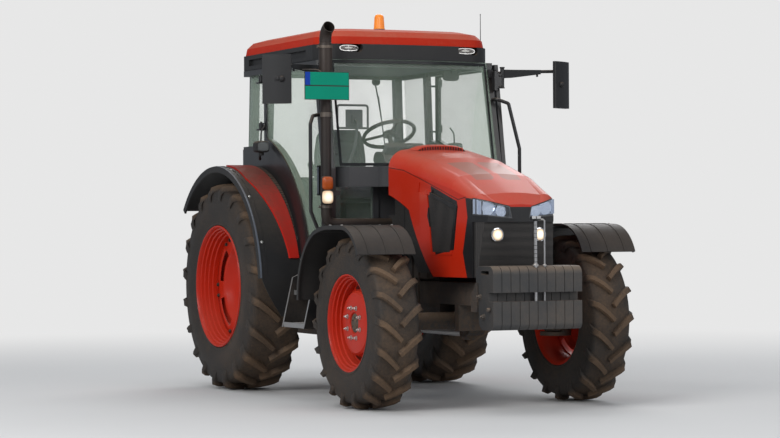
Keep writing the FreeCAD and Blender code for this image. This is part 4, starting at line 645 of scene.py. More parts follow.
def tread(work, centre, side, family):
    radius, half, rim, lug, width, count, skew = TYRES[family]
    line = carcass(radius, half, rim, lug)
    outline = [(-out, r) for out, r in reversed(line)] + line[1:]
    inner = rim - 0.004
    outline = [(-half * 0.86, inner)] + outline + [(half * 0.86, inner)]
    # lug stations: share of the half section, share of the lug height
    stations = [(0.0, 1.0), (0.06, 1.0), (0.16, 1.0), (0.26, 1.0), (0.34, 0.98), (0.40, 0.93), (0.45, 0.80),
                (0.50, 0.55), (0.55, 0.26), (0.59, 0.04)]

    def lug_rows(start, hand):
        rows = []
        for share, rise in stations:
            (out, r), (normal_out, normal_r) = along_line(line, share)
            reach = share / stations[-1][0]
            turn = start - skew * (1 - (1 - reach) ** 1.35)
            lean = skew * 1.35 * (1 - reach) ** 0.35 * r
            length = math.hypot(lean, half)
            cross_turn = half / length
            cross_out = lean / length
            grow = 1.0 + 0.25 * reach
            top = (out + abs(normal_out) * lug * rise, r + abs(normal_r) * lug * rise)
            row = []
            for across, up in ((-0.62, 0.0), (-0.46, 0.86), (-0.38, 1.0), (0.38, 1.0), (0.46, 0.86),
                               (0.62, 0.0)):
                offset = across * width * grow
                spot_out = out + (top[0] - out) * up + offset * cross_out * 0.55
                spot_r = r - 0.004 + (top[1] - r + 0.004) * up
                spot_out = max(-0.012, min(spot_out, half * 0.995))
                angle = turn + offset * cross_turn / r
                row.append(centre + Vector((spot_r * math.sin(angle), side * hand * spot_out,
                                            spot_r * math.cos(angle))))
            rows.append(row)
        return rows

    turned(work, centre, outline, side, 120)
    for index in range(count):
        for hand, phase in ((1, 0.0), (-1, 0.5)):
            closed(work, lug_rows(2 * math.pi * (index + phase) / count, hand))


WHEELS = [(family, name, side) for family in ("rear", "front") for name, side in SIDES]

for family, name, side in WHEELS:
    wheel = "%s_%s" % (family, name)
    centre = middle("tyre_" + wheel)
    finish = tyre_rubber("rubber_" + wheel, TYRES[family][0], centre)
    tyre = piece("tread_" + wheel, tread, "wheel_" + wheel, finish, 50, (centre, side, family))
    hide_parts("tyre_" + wheel)


# Forms used by many small pieces

def ball(work, centre, radius, sides=20):
    turns = [math.pi * k / 10 for k in range(11)]
    spun(work, centre, UP, [(radius * math.sin(turn) + 0.0002, -radius * math.cos(turn)) for turn in turns],
         sides)


def oval(y, z, half_wide, half_high, count=40, power=2.6):
    """An outline of (y, z) points between an ellipse and a rectangle."""
    line = []
    for index in range(count):
        turn = 2 * math.pi * index / count
        across, up = math.cos(turn), math.sin(turn)
        line.append((y + half_wide * math.copysign(abs(across) ** (2 / power), across),
                     z + half_high * math.copysign(abs(up) ** (2 / power), up)))
    return line


def facing(work, y, z, sections, count=40, power=2.6):
    """Ovals that look forward or back: place along, half width, half height and, if it's another, power."""
    rows = []
    for x, half_wide, half_high, *own in sections:
        outline = oval(y, z, half_wide, half_high, count, own[0] if own else power)
        rows.append([at(x, across, up) for across, up in outline])
    closed(work, rows)


def strip(work, rows, thick):
    """A sheet laid through rows of points, thickened on its far side."""
    grid = [[Vector(point) for point in row] for row in rows]
    under = []
    for i, row in enumerate(grid):
        line = []
        for j, spot in enumerate(row):
            run = grid[min(i + 1, len(grid) - 1)][j] - grid[max(i - 1, 0)][j]
            side = row[min(j + 1, len(row) - 1)] - row[max(j - 1, 0)]
            line.append(spot + run.cross(side).normalized() * thick)
        under.append(line)
    loops = [top + low[::-1] for top, low in zip(grid, under)]
    closed(work, loops)


# Wheel rims: a stepped barrel and a dished disc with windows, then studs, clamp bolts and centre plates

BARRELS = {
    # family: the inside from the outer edge inwards, then back along the tyre's side, as (out, radius)
    "rear": [(0.200, 0.453), (0.1995, 0.445), (0.190, 0.439), (0.172, 0.435), (0.166, 0.427), (0.146, 0.423),
             (0.140, 0.415), (0.118, 0.411), (0.112, 0.403), (0.088, 0.399), (0.082, 0.391), (0.050, 0.387),
             (0.044, 0.380), (0.0, 0.377), (-0.10, 0.372), (-0.175, 0.415), (-0.197, 0.440), (-0.200, 0.453),
             (-0.192, 0.457), (-0.172, 0.424), (-0.10, 0.381), (0.0, 0.386), (0.05, 0.395), (0.09, 0.407),
             (0.12, 0.419), (0.146, 0.431), (0.172, 0.443), (0.192, 0.457)],
    "front": [(0.140, 0.327), (0.1395, 0.319), (0.132, 0.314), (0.118, 0.311), (0.113, 0.303), (0.094, 0.300),
              (0.089, 0.292), (0.066, 0.289), (0.060, 0.281), (0.030, 0.278), (-0.060, 0.274),
              (-0.120, 0.300),
              (-0.137, 0.318), (-0.140, 0.327), (-0.134, 0.330), (-0.120, 0.309), (-0.06, 0.284),
              (0.03, 0.287),
              (0.066, 0.297), (0.095, 0.309), (0.120, 0.320), (0.134, 0.330)],
}
DISCS = {
    # family: from the barrel to the hub; the windows lie between the second and third rings
    "rear": [(0.046, 0.386), (0.046, 0.335), (0.038, 0.286), (0.022, 0.270), (-0.010, 0.247), (-0.038, 0.217),
             (-0.054, 0.182), (-0.060, 0.158), (-0.060, 0.120), (-0.060, 0.076)],
    "front": [(0.012, 0.281), (0.012, 0.268), (0.018, 0.230), (0.045, 0.220), (0.068, 0.212), (0.080, 0.199),
              (0.085, 0.165), (0.087, 0.110), (0.087, 0.075), (0.075, 0.064)],
}
# Windows: how many, the first one's clock angle, how many degrees each is long
WINDOWS = {"rear": (5, 12, 50), "front": (5, -8, 46)}
# Studs: their face, their circle's radius, their size
STUDS = {"rear": (-0.056, 0.137, 0.0125), "front": (0.091, 0.107, 0.0115)}
# Clamp bolts, a pair for each window: their face, their circle's radius, offset and spread in degrees
CLAMPS = {"rear": (0.050, 0.362, 0, 6.5), "front": (0.018, 0.250, -5, 4.5)}
# Centre plates: their face and radius
CAPS = {"rear": (-0.050, 0.078), "front": (0.082, 0.065)}


def wheel_spot(centre, side, out, radius, degrees):
    turn = math.radians(degrees)
    return centre + Vector((radius * math.sin(turn), side * out, radius * math.cos(turn)))


def rim_barrel(work, centre, side, family):
    rows = [[wheel_spot(centre, side, out, radius, 3 * step) for out, radius in BARRELS[family]]
            for step in range(120)]
    skin(work, rows, closed_rows=True, closed_points=True)


def rim_disc(work, centre, side, family):
    """The disc as a sheet, 2 degrees a step, left open at its windows."""
    count, first, length = WINDOWS[family]
    grid = [[work.verts.new(wheel_spot(centre, side, out, radius, 2 * step)) for out, radius in DISCS[family]]
            for step in range(180)]
    for step in range(180):
        after = grid[(step + 1) % 180]
        from_window = (2 * step + 1 - first + 180 / count) % (360 / count) - 180 / count
        for ring_index in range(len(DISCS[family]) - 1):
            if ring_index == 1 and abs(from_window) < length / 2:
                continue
            work.faces.new((grid[step][ring_index], grid[step][ring_index + 1], after[ring_index + 1],
                            after[ring_index]))


def wheel_studs(work, centre, side, family):
    face, circle, size = STUDS[family]
    for index in range(8):
        spot = wheel_spot(centre, side, face, circle, 22.5 + 45 * index)
        bolt(work, spot, (0, side, 0), size, 0.018)
        spun(work, spot, (0, side, 0), [(size * 0.55, 0.016), (size * 0.55, 0.027), (size * 0.4, 0.029)], 12)


def wheel_clamps(work, centre, side, family):
    count, first, _ = WINDOWS[family]
    face, circle, offset, spread = CLAMPS[family]
    for index in range(count):
        for way in (-1, 1):
            angle = first + (index + 0.5) * 360 / count + offset + way * spread
            spot = wheel_spot(centre, side, face, circle, angle)
            bolt(work, spot, (0, side, 0), STUDS[family][2] * 0.9, 0.014)


def wheel_cap(work, centre, side, family):
    """Centre plate with its bolts and, at the rear, the drum behind the disc."""
    face, radius = CAPS[family]
    turned(work, centre, [
        (face + 0.003, 0.0005), (face + 0.003, radius * 0.30), (face + 0.001, radius * 0.34),
        (face + 0.001, radius * 0.80), (face - 0.001, radius * 0.97), (face - 0.006, radius + 0.001),
        (face - 0.012, radius + 0.001), (face - 0.012, 0.0005)], side, 48)
    for index in range(6):
        bolt(work, wheel_spot(centre, side, face + 0.001, radius * 0.62, 60 * index), (0, side, 0), 0.006,
             0.007)
    if family == "rear":
        turned(work, centre, [(-0.065, 0.0005), (-0.065, 0.155), (-0.078, 0.155), (-0.084, 0.115),
                              (-0.150, 0.110), (-0.150, 0.0005)], side, 48)


for family, name, side in WHEELS:
    wheel = "%s_%s" % (family, name)
    body = "wheel_" + wheel
    place = (middle("tyre_" + wheel), side, family)
    bolts = stud_steel if family == "front" else black_bolts
    barrel = piece("barrel_" + wheel, rim_barrel, body, rim_red, 28, place)
    disc = piece("disc_" + wheel, rim_disc, body, rim_red, 28, place)
    sheet = disc.modifiers.new("sheet", "SOLIDIFY")
    sheet.thickness = 0.008
    sheet.offset = 0
    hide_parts("rim_" + wheel)
    piece("studs_" + wheel, wheel_studs, body, bolts, 30, place)
    piece("clamps_" + wheel, wheel_clamps, body, bolts, 30, place)
    piece("cap_" + wheel, wheel_cap, body, grey_cast, 30, place)


# Blank plates on a carrier under the mirror arm

PLATE_FEET = (2.108, 2.206)


def plate_carrier(work):
    for low in PLATE_FEET:
        box(work, 1.544, 1.549, -0.934, -0.596, low - 0.004, low + 0.094)
    for y in (-0.80, -0.70):
        box(work, 1.536, 1.545, y - 0.012, y + 0.012, 2.115, 2.30)
    tube(work, [(1.541, -0.80, 2.292), (1.50, -0.81, 2.315), (1.44, -0.86, 2.318), (1.425, -0.90, 2.318)],
         0.006)


def plate_faces(work):
    for low in PLATE_FEET:
        box(work, 1.548, 1.5505, -0.930, -0.600, low, low + 0.090)


def plate_strip(work):
    box(work, 1.550, 1.5512, -0.930, -0.893, 2.206, 2.296)


piece("plate_carrier", plate_carrier, "chassis", black_plastic)
piece("plate_faces", plate_faces, "chassis", plate_green)
piece("plate_strip", plate_strip, "chassis", plate_blue)


# Windscreen border and wiper, rear wiper, aerial, beacon

def screen_x(y, z):
    """How far ahead of the rear axle the windscreen's outside is."""
    rise = (z - 1.642) / (2.410 - 1.642)
    foot = 1.4086 + 0.1314 * (1 - (y / 0.65) ** 2)
    head = 1.2736 + 0.0764 * (1 - (y / 0.628) ** 2)
    return foot + (head - foot) * rise


def screen_border(work):
    def on_glass(y, z):
        return at(screen_x(y, z) + 0.0035, y, z)

    for low, high in ((1.648, 1.668), (2.384, 2.404)):
        skin(work, [[on_glass(0.615 * (k / 12 - 1), z) for k in range(25)] for z in (low, high)])
    for _, side in SIDES:
        skin(work, [[on_glass(y, 1.65 + 0.075 * k) for k in range(11)] for y in (side * 0.600, side * 0.616)])


def wipers(work):
    blade_places = (-0.15, 0.0, 0.2, 0.4, 0.585)
    tube(work, [(screen_x(y, 1.672) + 0.014, y, 1.672) for y in blade_places], 0.005, 10)
    tube(work, [(screen_x(y, 1.662) + 0.008, y, 1.664) for y in blade_places], 0.003, 8)
    tube(work, [(screen_x(0, 1.65) + 0.012, 0.0, 1.656), (screen_x(0.04, 1.66) + 0.028, 0.04, 1.668),
                (screen_x(0.22, 1.68) + 0.024, 0.22, 1.684), (screen_x(0.26, 1.68) + 0.016, 0.26, 1.674)],
                0.006, 10)
    spun(work, at(screen_x(0, 1.65) - 0.004, 0.0, 1.656), (1, 0, 0),
         [(0.016, 0), (0.016, 0.016), (0.009, 0.022)])
    # rear wiper
    spun(work, at(-0.246, 0.44, 2.352), (-1, 0, 0), [(0.03, -0.02), (0.03, 0.012), (0.022, 0.018)])
    tube(work, [(-0.262, 0.44, 2.352), (-0.262, 0.47, 2.20), (-0.252, 0.49, 2.06)], 0.006, 10)
    tube(work, [(-0.246, 0.462, 2.24), (-0.246, 0.515, 1.86)], 0.005, 10)


def aerial(work):
    spun(work, at(1.16, 0.640, 2.516), UP, [(0.020, 0), (0.019, 0.014), (0.008, 0.030), (0.003, 0.05),
                                            (0.0022, 0.250), (0.004, 0.254), (0.002, 0.262)], 14)


BEACON_FOOT = at(0.770, 0, 2.640)


def beacon_base(work):
    spun(work, BEACON_FOOT, UP, [(0.051, 0), (0.051, 0.014), (0.047, 0.024), (0.043, 0.028), (0.043, 0.036),
                                 (0.038, 0.038)], 48)


def beacon_dome(work):
    rows = [(0.040, 0.030), (0.0415, 0.038)]
    for k in range(9):
        rows += [(0.0405 - k * 0.0006, 0.044 + k * 0.009), (0.0395 - k * 0.0006, 0.048 + k * 0.009)]
    rows += [(0.0340, 0.128), (0.027, 0.140), (0.015, 0.1465), (0.0005, 0.1478)]
    spun(work, BEACON_FOOT, UP, rows, 48)


piece("screen_border", screen_border, "chassis", glass_border)
piece("wipers", wipers, "chassis", black_plastic)
piece("aerial", aerial, "chassis", black_plastic)
piece("beacon_base", beacon_base, "chassis", black_plastic)
piece("beacon_dome", beacon_dome, "chassis", amber_glow)


# Roof lamps

ROOF_LAMP_Y, ROOF_LAMP_Z = 0.467, 2.493


@on_both_sides
def roof_lamp_cases(work, side):
    facing(work, side * ROOF_LAMP_Y, ROOF_LAMP_Z, [
        (1.188, 0.082, 0.028), (1.259, 0.082, 0.028), (1.262, 0.080, 0.026), (1.2615, 0.072, 0.0205),
        (1.236, 0.066, 0.017)])


@on_both_sides
def roof_lamp_rings(work, side):
    facing(work, side * ROOF_LAMP_Y, ROOF_LAMP_Z, [
        (1.250, 0.074, 0.0225), (1.2618, 0.073, 0.0215), (1.2618, 0.067, 0.0175), (1.252, 0.065, 0.0165)])


@on_both_sides
def roof_lamp_bulbs(work, side):
    facing(work, side * ROOF_LAMP_Y, 2.495, [
        (1.240, 0.030, 0.0055), (1.2565, 0.030, 0.0055), (1.2575, 0.026, 0.003)])


@on_both_sides
def roof_lamp_bowls(work, side):
    for share in (-0.5, 0.5):
        facing(work, side * ROOF_LAMP_Y + share * 0.066, ROOF_LAMP_Z, [
            (1.2565, 0.0335, 0.0195), (1.244, 0.024, 0.014), (1.239, 0.010, 0.006, 2.0)], 24, 2.2)


@on_both_sides
def roof_lamp_covers(work, side):
    facing(work, side * ROOF_LAMP_Y, ROOF_LAMP_Z, [
        (1.256, 0.071, 0.0200), (1.2605, 0.069, 0.0185), (1.2617, 0.050, 0.012)])


cases = piece("roof_lamp_cases", roof_lamp_cases, "chassis", black_plastic)
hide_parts("roof_lamps")
piece("roof_lamp_bowls", roof_lamp_bowls, "chassis", steel_dark)
piece("roof_lamp_rings", roof_lamp_rings, "chassis", stud_steel)
piece("roof_lamp_bulbs", roof_lamp_bulbs, "chassis", white_lens)
piece("roof_lamp_covers", roof_lamp_covers, "chassis", clear_lens)


# Headlamps: faceted reflectors behind the lens, and the two lit lamps below

@on_both_sides
def headlamp_backs(work, side):
    outline = [(0.066, 1.272), (0.082, 1.346), (0.292, 1.400), (0.292, 1.294)]
    slab(work, [(side * y, z) for y, z in outline], 2.852, 2.862, "x")


def headlamp_bowls(work):
    chance = random.Random(7)
    for _, side in SIDES:
        for y, z, radius, x in ((0.128, 1.319, 0.040, 2.925), (0.212, 1.339, 0.046, 2.905)):
            spun(work, at(x, side * y, z), (-1, 0, 0), [
                (radius, 0), (radius * 0.97, 0.003), (radius * 0.80, 0.020), (radius * 0.50, 0.034),
                (radius * 0.2, 0.040)], 14)
            spun(work, at(x - 0.034, side * y, z), (1, 0, 0), [(0.008, 0), (0.008, 0.022), (0.004, 0.026)],
                 16)
        # fluted plate between the bowls
        for k in range(11):
            y = 0.078 + 0.0205 * k
            low = 1.274 + (y - 0.066) * 0.0973 + 0.004
            high = 1.346 + (y - 0.082) * 0.257 - 0.004
            depth = 2.880 + 0.018 * chance.random() - max(0.0, y - 0.2) * 0.2
            rows = []
            for ahead, across, rise, lift in ((0, 0, 0, 0), (0.008, 0.010, 0.001, 0.002),
                                              (0, 0.0205, 0.002, 0.005)):
                x = depth + ahead
                rows.append([at(x, side * (y + across), low + rise), at(x, side * (y + across), high + lift)])
            skin(work, rows)


@on_both_sides
def fog_rings(work, side):
    spun(work, at(2.914, side * FOG_Y, FOG_Z), (1, 0, 0), [
        (0.046, 0), (0.0475, 0.012), (0.045, 0.018), (0.0395, 0.020), (0.0385, 0.014)], 40)


@on_both_sides
def fog_lenses(work, side):
    spun(work, at(2.930, side * FOG_Y, FOG_Z), (1, 0, 0), [
        (0.039, -0.010), (0.039, 0.0035), (0.034, 0.0055), (0.022, 0.008), (0.0005, 0.009)], 40)


piece("headlamp_backs", headlamp_backs, "bonnet", black_plastic)
piece("headlamp_bowls", headlamp_bowls, "bonnet", lamp_silver_painted_sky, 12)
piece("fog_rings", fog_rings, "bonnet", chrome)
piece("fog_lenses", fog_lenses, "bonnet", fog_glow)


# Vent lip at the back of the bonnet, and the dark sheets behind its side frames

def crown_z(y):
    """The bonnet's rear top edge."""
    return 1.772 - 0.018 * (y / 0.262) ** 2


def vent_rows(sections):
    """Rows across the vent, each given as place along, rise over the crown and half width."""
    rows = []
    for x, rise, half in sections:
        shares = [k / 12 - 1 for k in range(25)]
        rows.append([at(x, half * share,
                        crown_z(half * share) - (x - 1.70) * 0.16 + rise * (1 - abs(share) ** 6))
                     for share in shares])
    return rows


def vent_lip(work):
    skin(work, vent_rows([(1.704, -0.004, 0.215), (1.712, 0.020, 0.212), (1.740, 0.0270, 0.205),
                          (1.790, 0.0265, 0.192), (1.799, 0.0235, 0.188), (1.798, 0.0205, 0.186)]))


# A near-black sheet across the slot under the lip: painted shade in the opening
def vent_slot_shade(work):
    skin(work, vent_rows([(1.794, 0.0215, 0.184), (1.800, -0.004, 0.190)]))


def vent_bars(work):
    for k in range(17):
        y = -0.160 + 0.020 * k
        top = crown_z(y) - 0.016
        box(work, 1.795, 1.803, y - 0.0022, y + 0.0022, top - 0.006, top + 0.021)


piece("vent_lip", vent_lip, "bonnet", paint_red)
piece("vent_slot_shade", vent_slot_shade, "bonnet", gap_shade)
piece("vent_bars", vent_bars, "bonnet", paint_red)


@on_both_sides
def side_sheets(work, side):
    outline = [(1.70, 1.02), (1.70, 1.42), (1.83, 1.42), (2.04, 1.30), (2.20, 1.08), (2.30, 0.93),
               (2.30, 0.905),
               (2.06, 0.905), (1.98, 1.02)]
    slab(work, outline, side * 0.312, side * 0.318, "y")


@on_both_sides
def side_sheet_frames(work, side):
    line = [(1.70, 1.415), (1.83, 1.415), (2.04, 1.295), (2.20, 1.075), (2.295, 0.935)]
    tube(work, [(x, side * 0.321, z) for x, z in line], 0.007, 10)
    box(work, 1.845, 1.860, side * 0.314 - 0.006, side * 0.314 + 0.006, 1.02, 1.40)


piece("side_sheets", side_sheets, "chassis", screen_mesh)
piece("side_sheet_frames", side_sheet_frames, "chassis", black_plastic)


# Mirrors: glass, ball joints, brackets and the tapered arms

@on_both_sides
def mirror_glass(work, side):
    rows = []
    for share in (0.05, 0.5, 0.95):
        sag = -0.0015 * (1 - (2 * share - 1) ** 2)
        x = 1.425 + 0.075 * share - 0.881 * 0.003 + sag
        y = 1.200 - 0.140 * share - 0.472 * 0.003
        rows.append([at(x, side * y, z) for z in (2.092, 2.245, 2.398)])
    skin(work, rows)


@on_both_sides
def mirror_joints(work, side):
    ahead = Vector((0.915, side * 0.403, 0))
    across = Vector((-0.403 * side, 0.915, 0)).normalized() * side
    foot = at(1.518, side * 1.118, 2.245)
    ball(work, at(1.545, side * 1.105, 2.245), 0.021)
    spun(work, foot, ahead, [(0.034, -0.004), (0.034, 0.006), (0.026, 0.012), (0.022, 0.012)], 28)
    for k in range(4):
        turn = math.radians(45 + 90 * k)
        spot = foot + across * 0.028 * math.cos(turn) + Vector((0, 0, 0.028 * math.sin(turn)))
        bolt(work, spot + ahead * 0.006, ahead, 0.004, 0.004)


@on_both_sides
def mirror_brackets(work, side):
    box(work, 1.300, 1.352, side * 0.668 - 0.012, side * 0.668 + 0.012, 2.205, 2.345)
    box(work, 1.312, 1.350, side * 0.700 - 0.022, side * 0.700 + 0.022, 2.225, 2.330)
    spun(work, at(1.340, side * 0.724, 2.222), UP, [
        (0.019, 0), (0.019, 0.006), (0.015, 0.009), (0.015, 0.145), (0.019, 0.148), (0.019, 0.156)], 24)
    for z in (2.235, 2.315):
        bolt(work, at(1.352, side * 0.702, z), (1, 0, 0), 0.008, 0.008)
    # tapered channel over the arm, from the bracket outwards
    rows = []
    for y, x, half, low, high in ((0.724, 1.328, 0.015, 2.296, 2.360), (0.80, 1.360, 0.015, 2.300, 2.358),
                                  (0.985, 1.438, 0.014, 2.324, 2.356)):
        rows.append([at(x + dx, side * y, z) for dx, z in (
            (-half, low), (half, low), (half, high), (-half, high))])
    closed(work, rows)
    spun(work, at(1.430, side * 0.965, 2.306), UP, [(0.008, 0), (0.008, 0.018), (0.005, 0.020)], 12)


piece("mirror_glass", mirror_glass, "chassis", mirror_silver)
piece("mirror_joints", mirror_joints, "chassis", black_plastic)
softened(piece("mirror_brackets", mirror_brackets, "chassis", black_paint), 0.003)


# Exhaust: pipe, wider sleeve, hollow bent mouth, clamps and stay

STACK_X, STACK_Y = 1.455, -0.735


def exhaust_pipe(work):
    tube(work, [(STACK_X, -0.242, 1.240), (STACK_X, STACK_Y, 1.240), (STACK_X, STACK_Y, 2.42)], 0.038, 32,
         0.075)
    spun(work, at(STACK_X, STACK_Y, 2.185), UP, [
        (0.0385, 0), (0.047, 0.004), (0.048, 0.012), (0.048, 0.312), (0.046, 0.320), (0.0425, 0.322)], 40)
    line = [(0.0, 2.49), (0.0, 2.53), (0.004, 2.555), (0.014, 2.578), (0.030, 2.597), (0.052, 2.611),
            (0.066, 2.618)]

    def mouth(radius):
        rings = []
        for index, (ahead, height) in enumerate(line):
            before, after = line[max(index - 1, 0)], line[min(index + 1, len(line) - 1)]
            run = Vector((after[0] - before[0], 0, after[1] - before[1])).normalized()
            spot = at(STACK_X + ahead, STACK_Y, height)
            rings.append(ring(spot, Vector((0, 1, 0)), Vector((-run.z, 0, run.x)), radius, 32))
        return rings
    skin(work, mouth(0.0425) + mouth(0.0385)[::-1], closed_points=True)


stack = piece("exhaust_pipe", exhaust_pipe, "chassis", exhaust_black, 45)
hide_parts("exhaust_stack")


def exhaust_clamps(work):
    for z, radius in ((1.36, 0.0385), (2.205, 0.0485), (2.480, 0.0485)):
        spun(work, at(STACK_X, STACK_Y, z), UP, [
            (radius, -0.010), (radius + 0.0022, -0.009), (radius + 0.0022, 0.009), (radius, 0.010)], 40)
        edge = STACK_Y - radius
        box(work, STACK_X - 0.012, STACK_X + 0.012, edge - 0.014, edge + 0.002, z - 0.009, z + 0.009)
        bolt(work, at(STACK_X + 0.012, edge - 0.007, z), (1, 0, 0), 0.006, 0.006)
    # stay to the corner post
    slab(work, [(1.372, -0.662), (1.388, -0.655), (1.452, -0.694), (1.440, -0.706)], 1.99, 2.02, "z")
    spun(work, at(STACK_X, STACK_Y, 2.005), UP, [(0.0385, -0.016), (0.041, -0.015), (0.041, 0.015),
                                                 (0.0385, 0.016)], 40)


piece("exhaust_clamps", exhaust_clamps, "chassis", steel_dark)


# Rear fenders: edge bead, ribs, flap, lamps and bolts; front fenders: screws and raised rectangle

AXLE_HEIGHT = 0.775
FENDER_RADIUS = 0.899
PAD_RADIUS = 0.8985
FENDER_LAMP_Y, FENDER_LAMP_Z = 0.80, 1.812


def over_axle(radius, degrees, y):
    """A point round the rear axle, at a radius and an angle from straight ahead."""
    turn = math.radians(degrees)
    return at(radius * math.cos(turn), y, AXLE_HEIGHT + radius * math.sin(turn))


def arc_rows(radius, degrees, across):
    """Rows along a rear fender: for each angle, a point for each place across."""
    return [[over_axle(radius + rise, angle, y) for y, rise in across] for angle in degrees]


# The edge bead's blue-grey colour is a painted highlight along the fender's edge
@on_both_sides
def rear_fender_edges(work, side):
    section = [(side * y, rise) for y, rise in (
        (1.0095, -0.028), (1.0095, 0.001), (1.004, 0.0022), (0.990, 0.0022), (0.990, -0.001), (1.003, -0.003),
        (1.003, -0.028))]
    closed(work, arc_rows(FENDER_RADIUS, [5 + 135 * k / 54 for k in range(55)], section))


@on_both_sides
def rear_fender_ribs(work, side):
    rib = [(side * 0.694, 0.001), (side * 0.696, 0.0075), (side * 0.730, 0.0075), (side * 0.734, 0.001)]
    for k in range(44):
        closed(work, arc_rows(PAD_RADIUS, (16 + 1.75 * k - 0.42, 16 + 1.75 * k + 0.42), rib))
    pad = [(side * 0.692, 0.0005), (side * 0.692, 0.003), (side * 0.737, 0.003), (side * 0.737, 0.0005)]
    closed(work, arc_rows(PAD_RADIUS, [15 + 78 * k / 30 for k in range(31)], pad))


@on_both_sides
def fender_flap(work, side):
    """Flap that carries the fender's front edge down and inwards to the step."""
    rows = []
    for share in (k / 12 for k in range(13)):
        outer = 1.006 - 0.170 * share ** 1.5
        places = (outer, outer - 0.03, 0.80 - 0.05 * share, 0.70)
        rows += arc_rows(0.8925, [8 - 21 * share], [(side * y, 0.0) for y in places])
    strip(work, rows if side < 0 else rows[::-1], 0.006)


@on_both_sides
def fender_lamps(work, side):
    y = side * FENDER_LAMP_Y
    facing(work, y, FENDER_LAMP_Z, [(0.372, 0.046, 0.036), (0.378, 0.052, 0.042), (0.440, 0.053, 0.043),
                                    (0.452, 0.047, 0.037)], 36, 4)
    tube(work, [(0.412, y, 1.775), (0.395, side * 0.806, 1.742), (0.350, side * 0.785, 1.722)], 0.010, 14)
    spun(work, at(0.410, y, 1.748), UP, [(0.018, 0), (0.020, 0.006), (0.020, 0.018), (0.014, 0.024)], 20)
    tube(work, [(0.405, y, 1.85), (0.405, side * 0.797, 1.93), (0.400, side * 0.765, 1.97)], 0.006, 12)


@on_both_sides
def fender_lamp_glass(work, side):
    for sections in ([(0.450, 0.043, 0.033), (0.4545, 0.040, 0.030)],
                     [(0.370, 0.038, 0.028), (0.375, 0.043, 0.033)]):
        facing(work, side * FENDER_LAMP_Y, FENDER_LAMP_Z, sections, 36, 4)


@on_both_sides
def rear_fender_bolts(work, side):
    for angle in (22, 48, 75, 102, 128):
        turn = math.radians(angle)
        spot = over_axle(FENDER_RADIUS, angle, side * 0.972)
        bolt(work, spot, (math.cos(turn), 0, math.sin(turn)), 0.008, 0.006)


def front_fender_screws(work, side):
    for x, z, tilt in ((-0.29, 1.197, -0.33), (-0.08, 1.231, 0.0), (0.11, 1.231, 0.0)):
        for y in (0.655, 1.020):
            spun(work, Vector((front_axle + x, side * y, z)), (tilt, 0, 1), [
                (0.009, -0.002), (0.009, 0.002), (0.006, 0.004), (0.0005, 0.0045)], 16)


def front_fender_panel(work, side):
    """The raised rectangle on the fender's flat top."""
    for y0, y1 in ((0.700, 0.706), (0.968, 0.974)):
        box(work, wheelbase - 0.085, wheelbase + 0.118, side * y0, side * y1, 1.2295, 1.2335)
    for x in (-0.085, 0.112):
        box(work, wheelbase + x, wheelbase + x + 0.006, side * 0.700, side * 0.974, 1.2295, 1.2335)


piece("rear_fender_edges", rear_fender_edges, "chassis", grey_and_edge_highlight)
piece("fender_flap", fender_flap, "chassis", fender_black)
piece("fender_lamps", fender_lamps, "chassis", black_plastic)
piece("fender_lamp_glass", fender_lamp_glass, "chassis", clear_lens)
piece("rear_fender_ribs", rear_fender_ribs, "chassis", soft_rubber)
piece("rear_fender_bolts", rear_fender_bolts, "chassis", stud_steel, 30)
for name, side in SIDES:
    unit = "steer_unit_" + name
    piece("front_fender_screws_" + name, front_fender_screws, unit, stud_steel, 30, (side,))
    piece("front_fender_panel_" + name, front_fender_panel, unit, black_plastic, 40, (side,))


# Marker and tail lamps

@on_both_sides
def marker_bodies(work, side):
    facing(work, side * MARKER_Y, 1.4755, [
        (1.512, 0.0445, 0.097), (1.530, 0.0445, 0.097), (1.534, 0.042, 0.094)], 36, 5)


@on_both_sides
def marker_lens(work, side, low, high):
    half = (high - low) / 2
    facing(work, side * MARKER_Y, (low + high) / 2, [
        (1.530, 0.040, half), (1.545, 0.039, half - 0.001), (1.552, 0.034, half - 0.006, 3.4),
        (1.5557, 0.022, half * 0.6, 3)], 36, 4)


@on_both_sides
def tail_part(work, side, inner, outer, low, high):
    """A block of the tail lamp, between two places across and two heights off the fender."""
    face = math.radians(40)
    along = Vector((math.cos(face), 0, math.sin(face)))
    out = Vector((-math.sin(face), 0, math.cos(face)))
    centre = at(-0.5781, 0, 1.4639)
    rows = []
    for depth, shrink in ((low, 0.0), (high - 0.004, 0.0), (high, 0.005)):
        reach = 0.058 - shrink
        spots = [(centre + along * length + out * depth, y) for length, y in (
            (-reach, inner + shrink), (reach, inner + shrink), (reach, outer - shrink),
            (-reach, outer - shrink))]
        rows.append([Vector((spot.x, side * y, spot.z)) for spot, y in spots])
    closed(work, rows)


lamp_bodies = piece("marker_bodies", marker_bodies, "chassis", black_plastic)
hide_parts("side_lamps")
piece("marker_amber", marker_lens, "chassis", amber_lens, 40, (1.478, 1.570))
piece("marker_white", marker_lens, "chassis", marker_glow, 40, (1.381, 1.472))
tail_bodies = piece("tail_bodies", tail_part, "chassis", black_plastic, 40,
                    (0.780, 0.930, 0.0005, 0.030))
softened(tail_bodies, 0.003)
piece("tail_red", tail_part, "chassis", red_lens, 40, (0.785, 0.878, 0.028, 0.045))
piece("tail_amber", tail_part, "chassis", amber_lens, 40, (0.882, 0.926, 0.028, 0.044))


# Doors: latch capsule and lock

def door_latch(work, side):
    rows = []
    for y, radius in ((0.757, 0.0125), (0.7595, 0.0125), (0.7605, 0.0095)):
        row = []
        for turn in (2 * math.pi * k / 32 for k in range(32)):
            end = 1.545 + math.copysign(0.082, math.sin(turn))
            row.append(at(1.368 + radius * math.cos(turn), side * y, end + radius * math.sin(turn)))
        rows.append(row)
    closed(work, rows)
    spun(work, at(1.368, side * 0.7605, 1.615), (0, side, 0),
         [(0.009, -0.002), (0.009, 0.002), (0.0075, 0.0035)])


for name, side in SIDES:
    piece("door_latch_" + name, door_latch, "door_" + name, grey_and_edge_highlight, 40, (side,))


# Steps: grip teeth on the boards; fuel tank: straps and filler

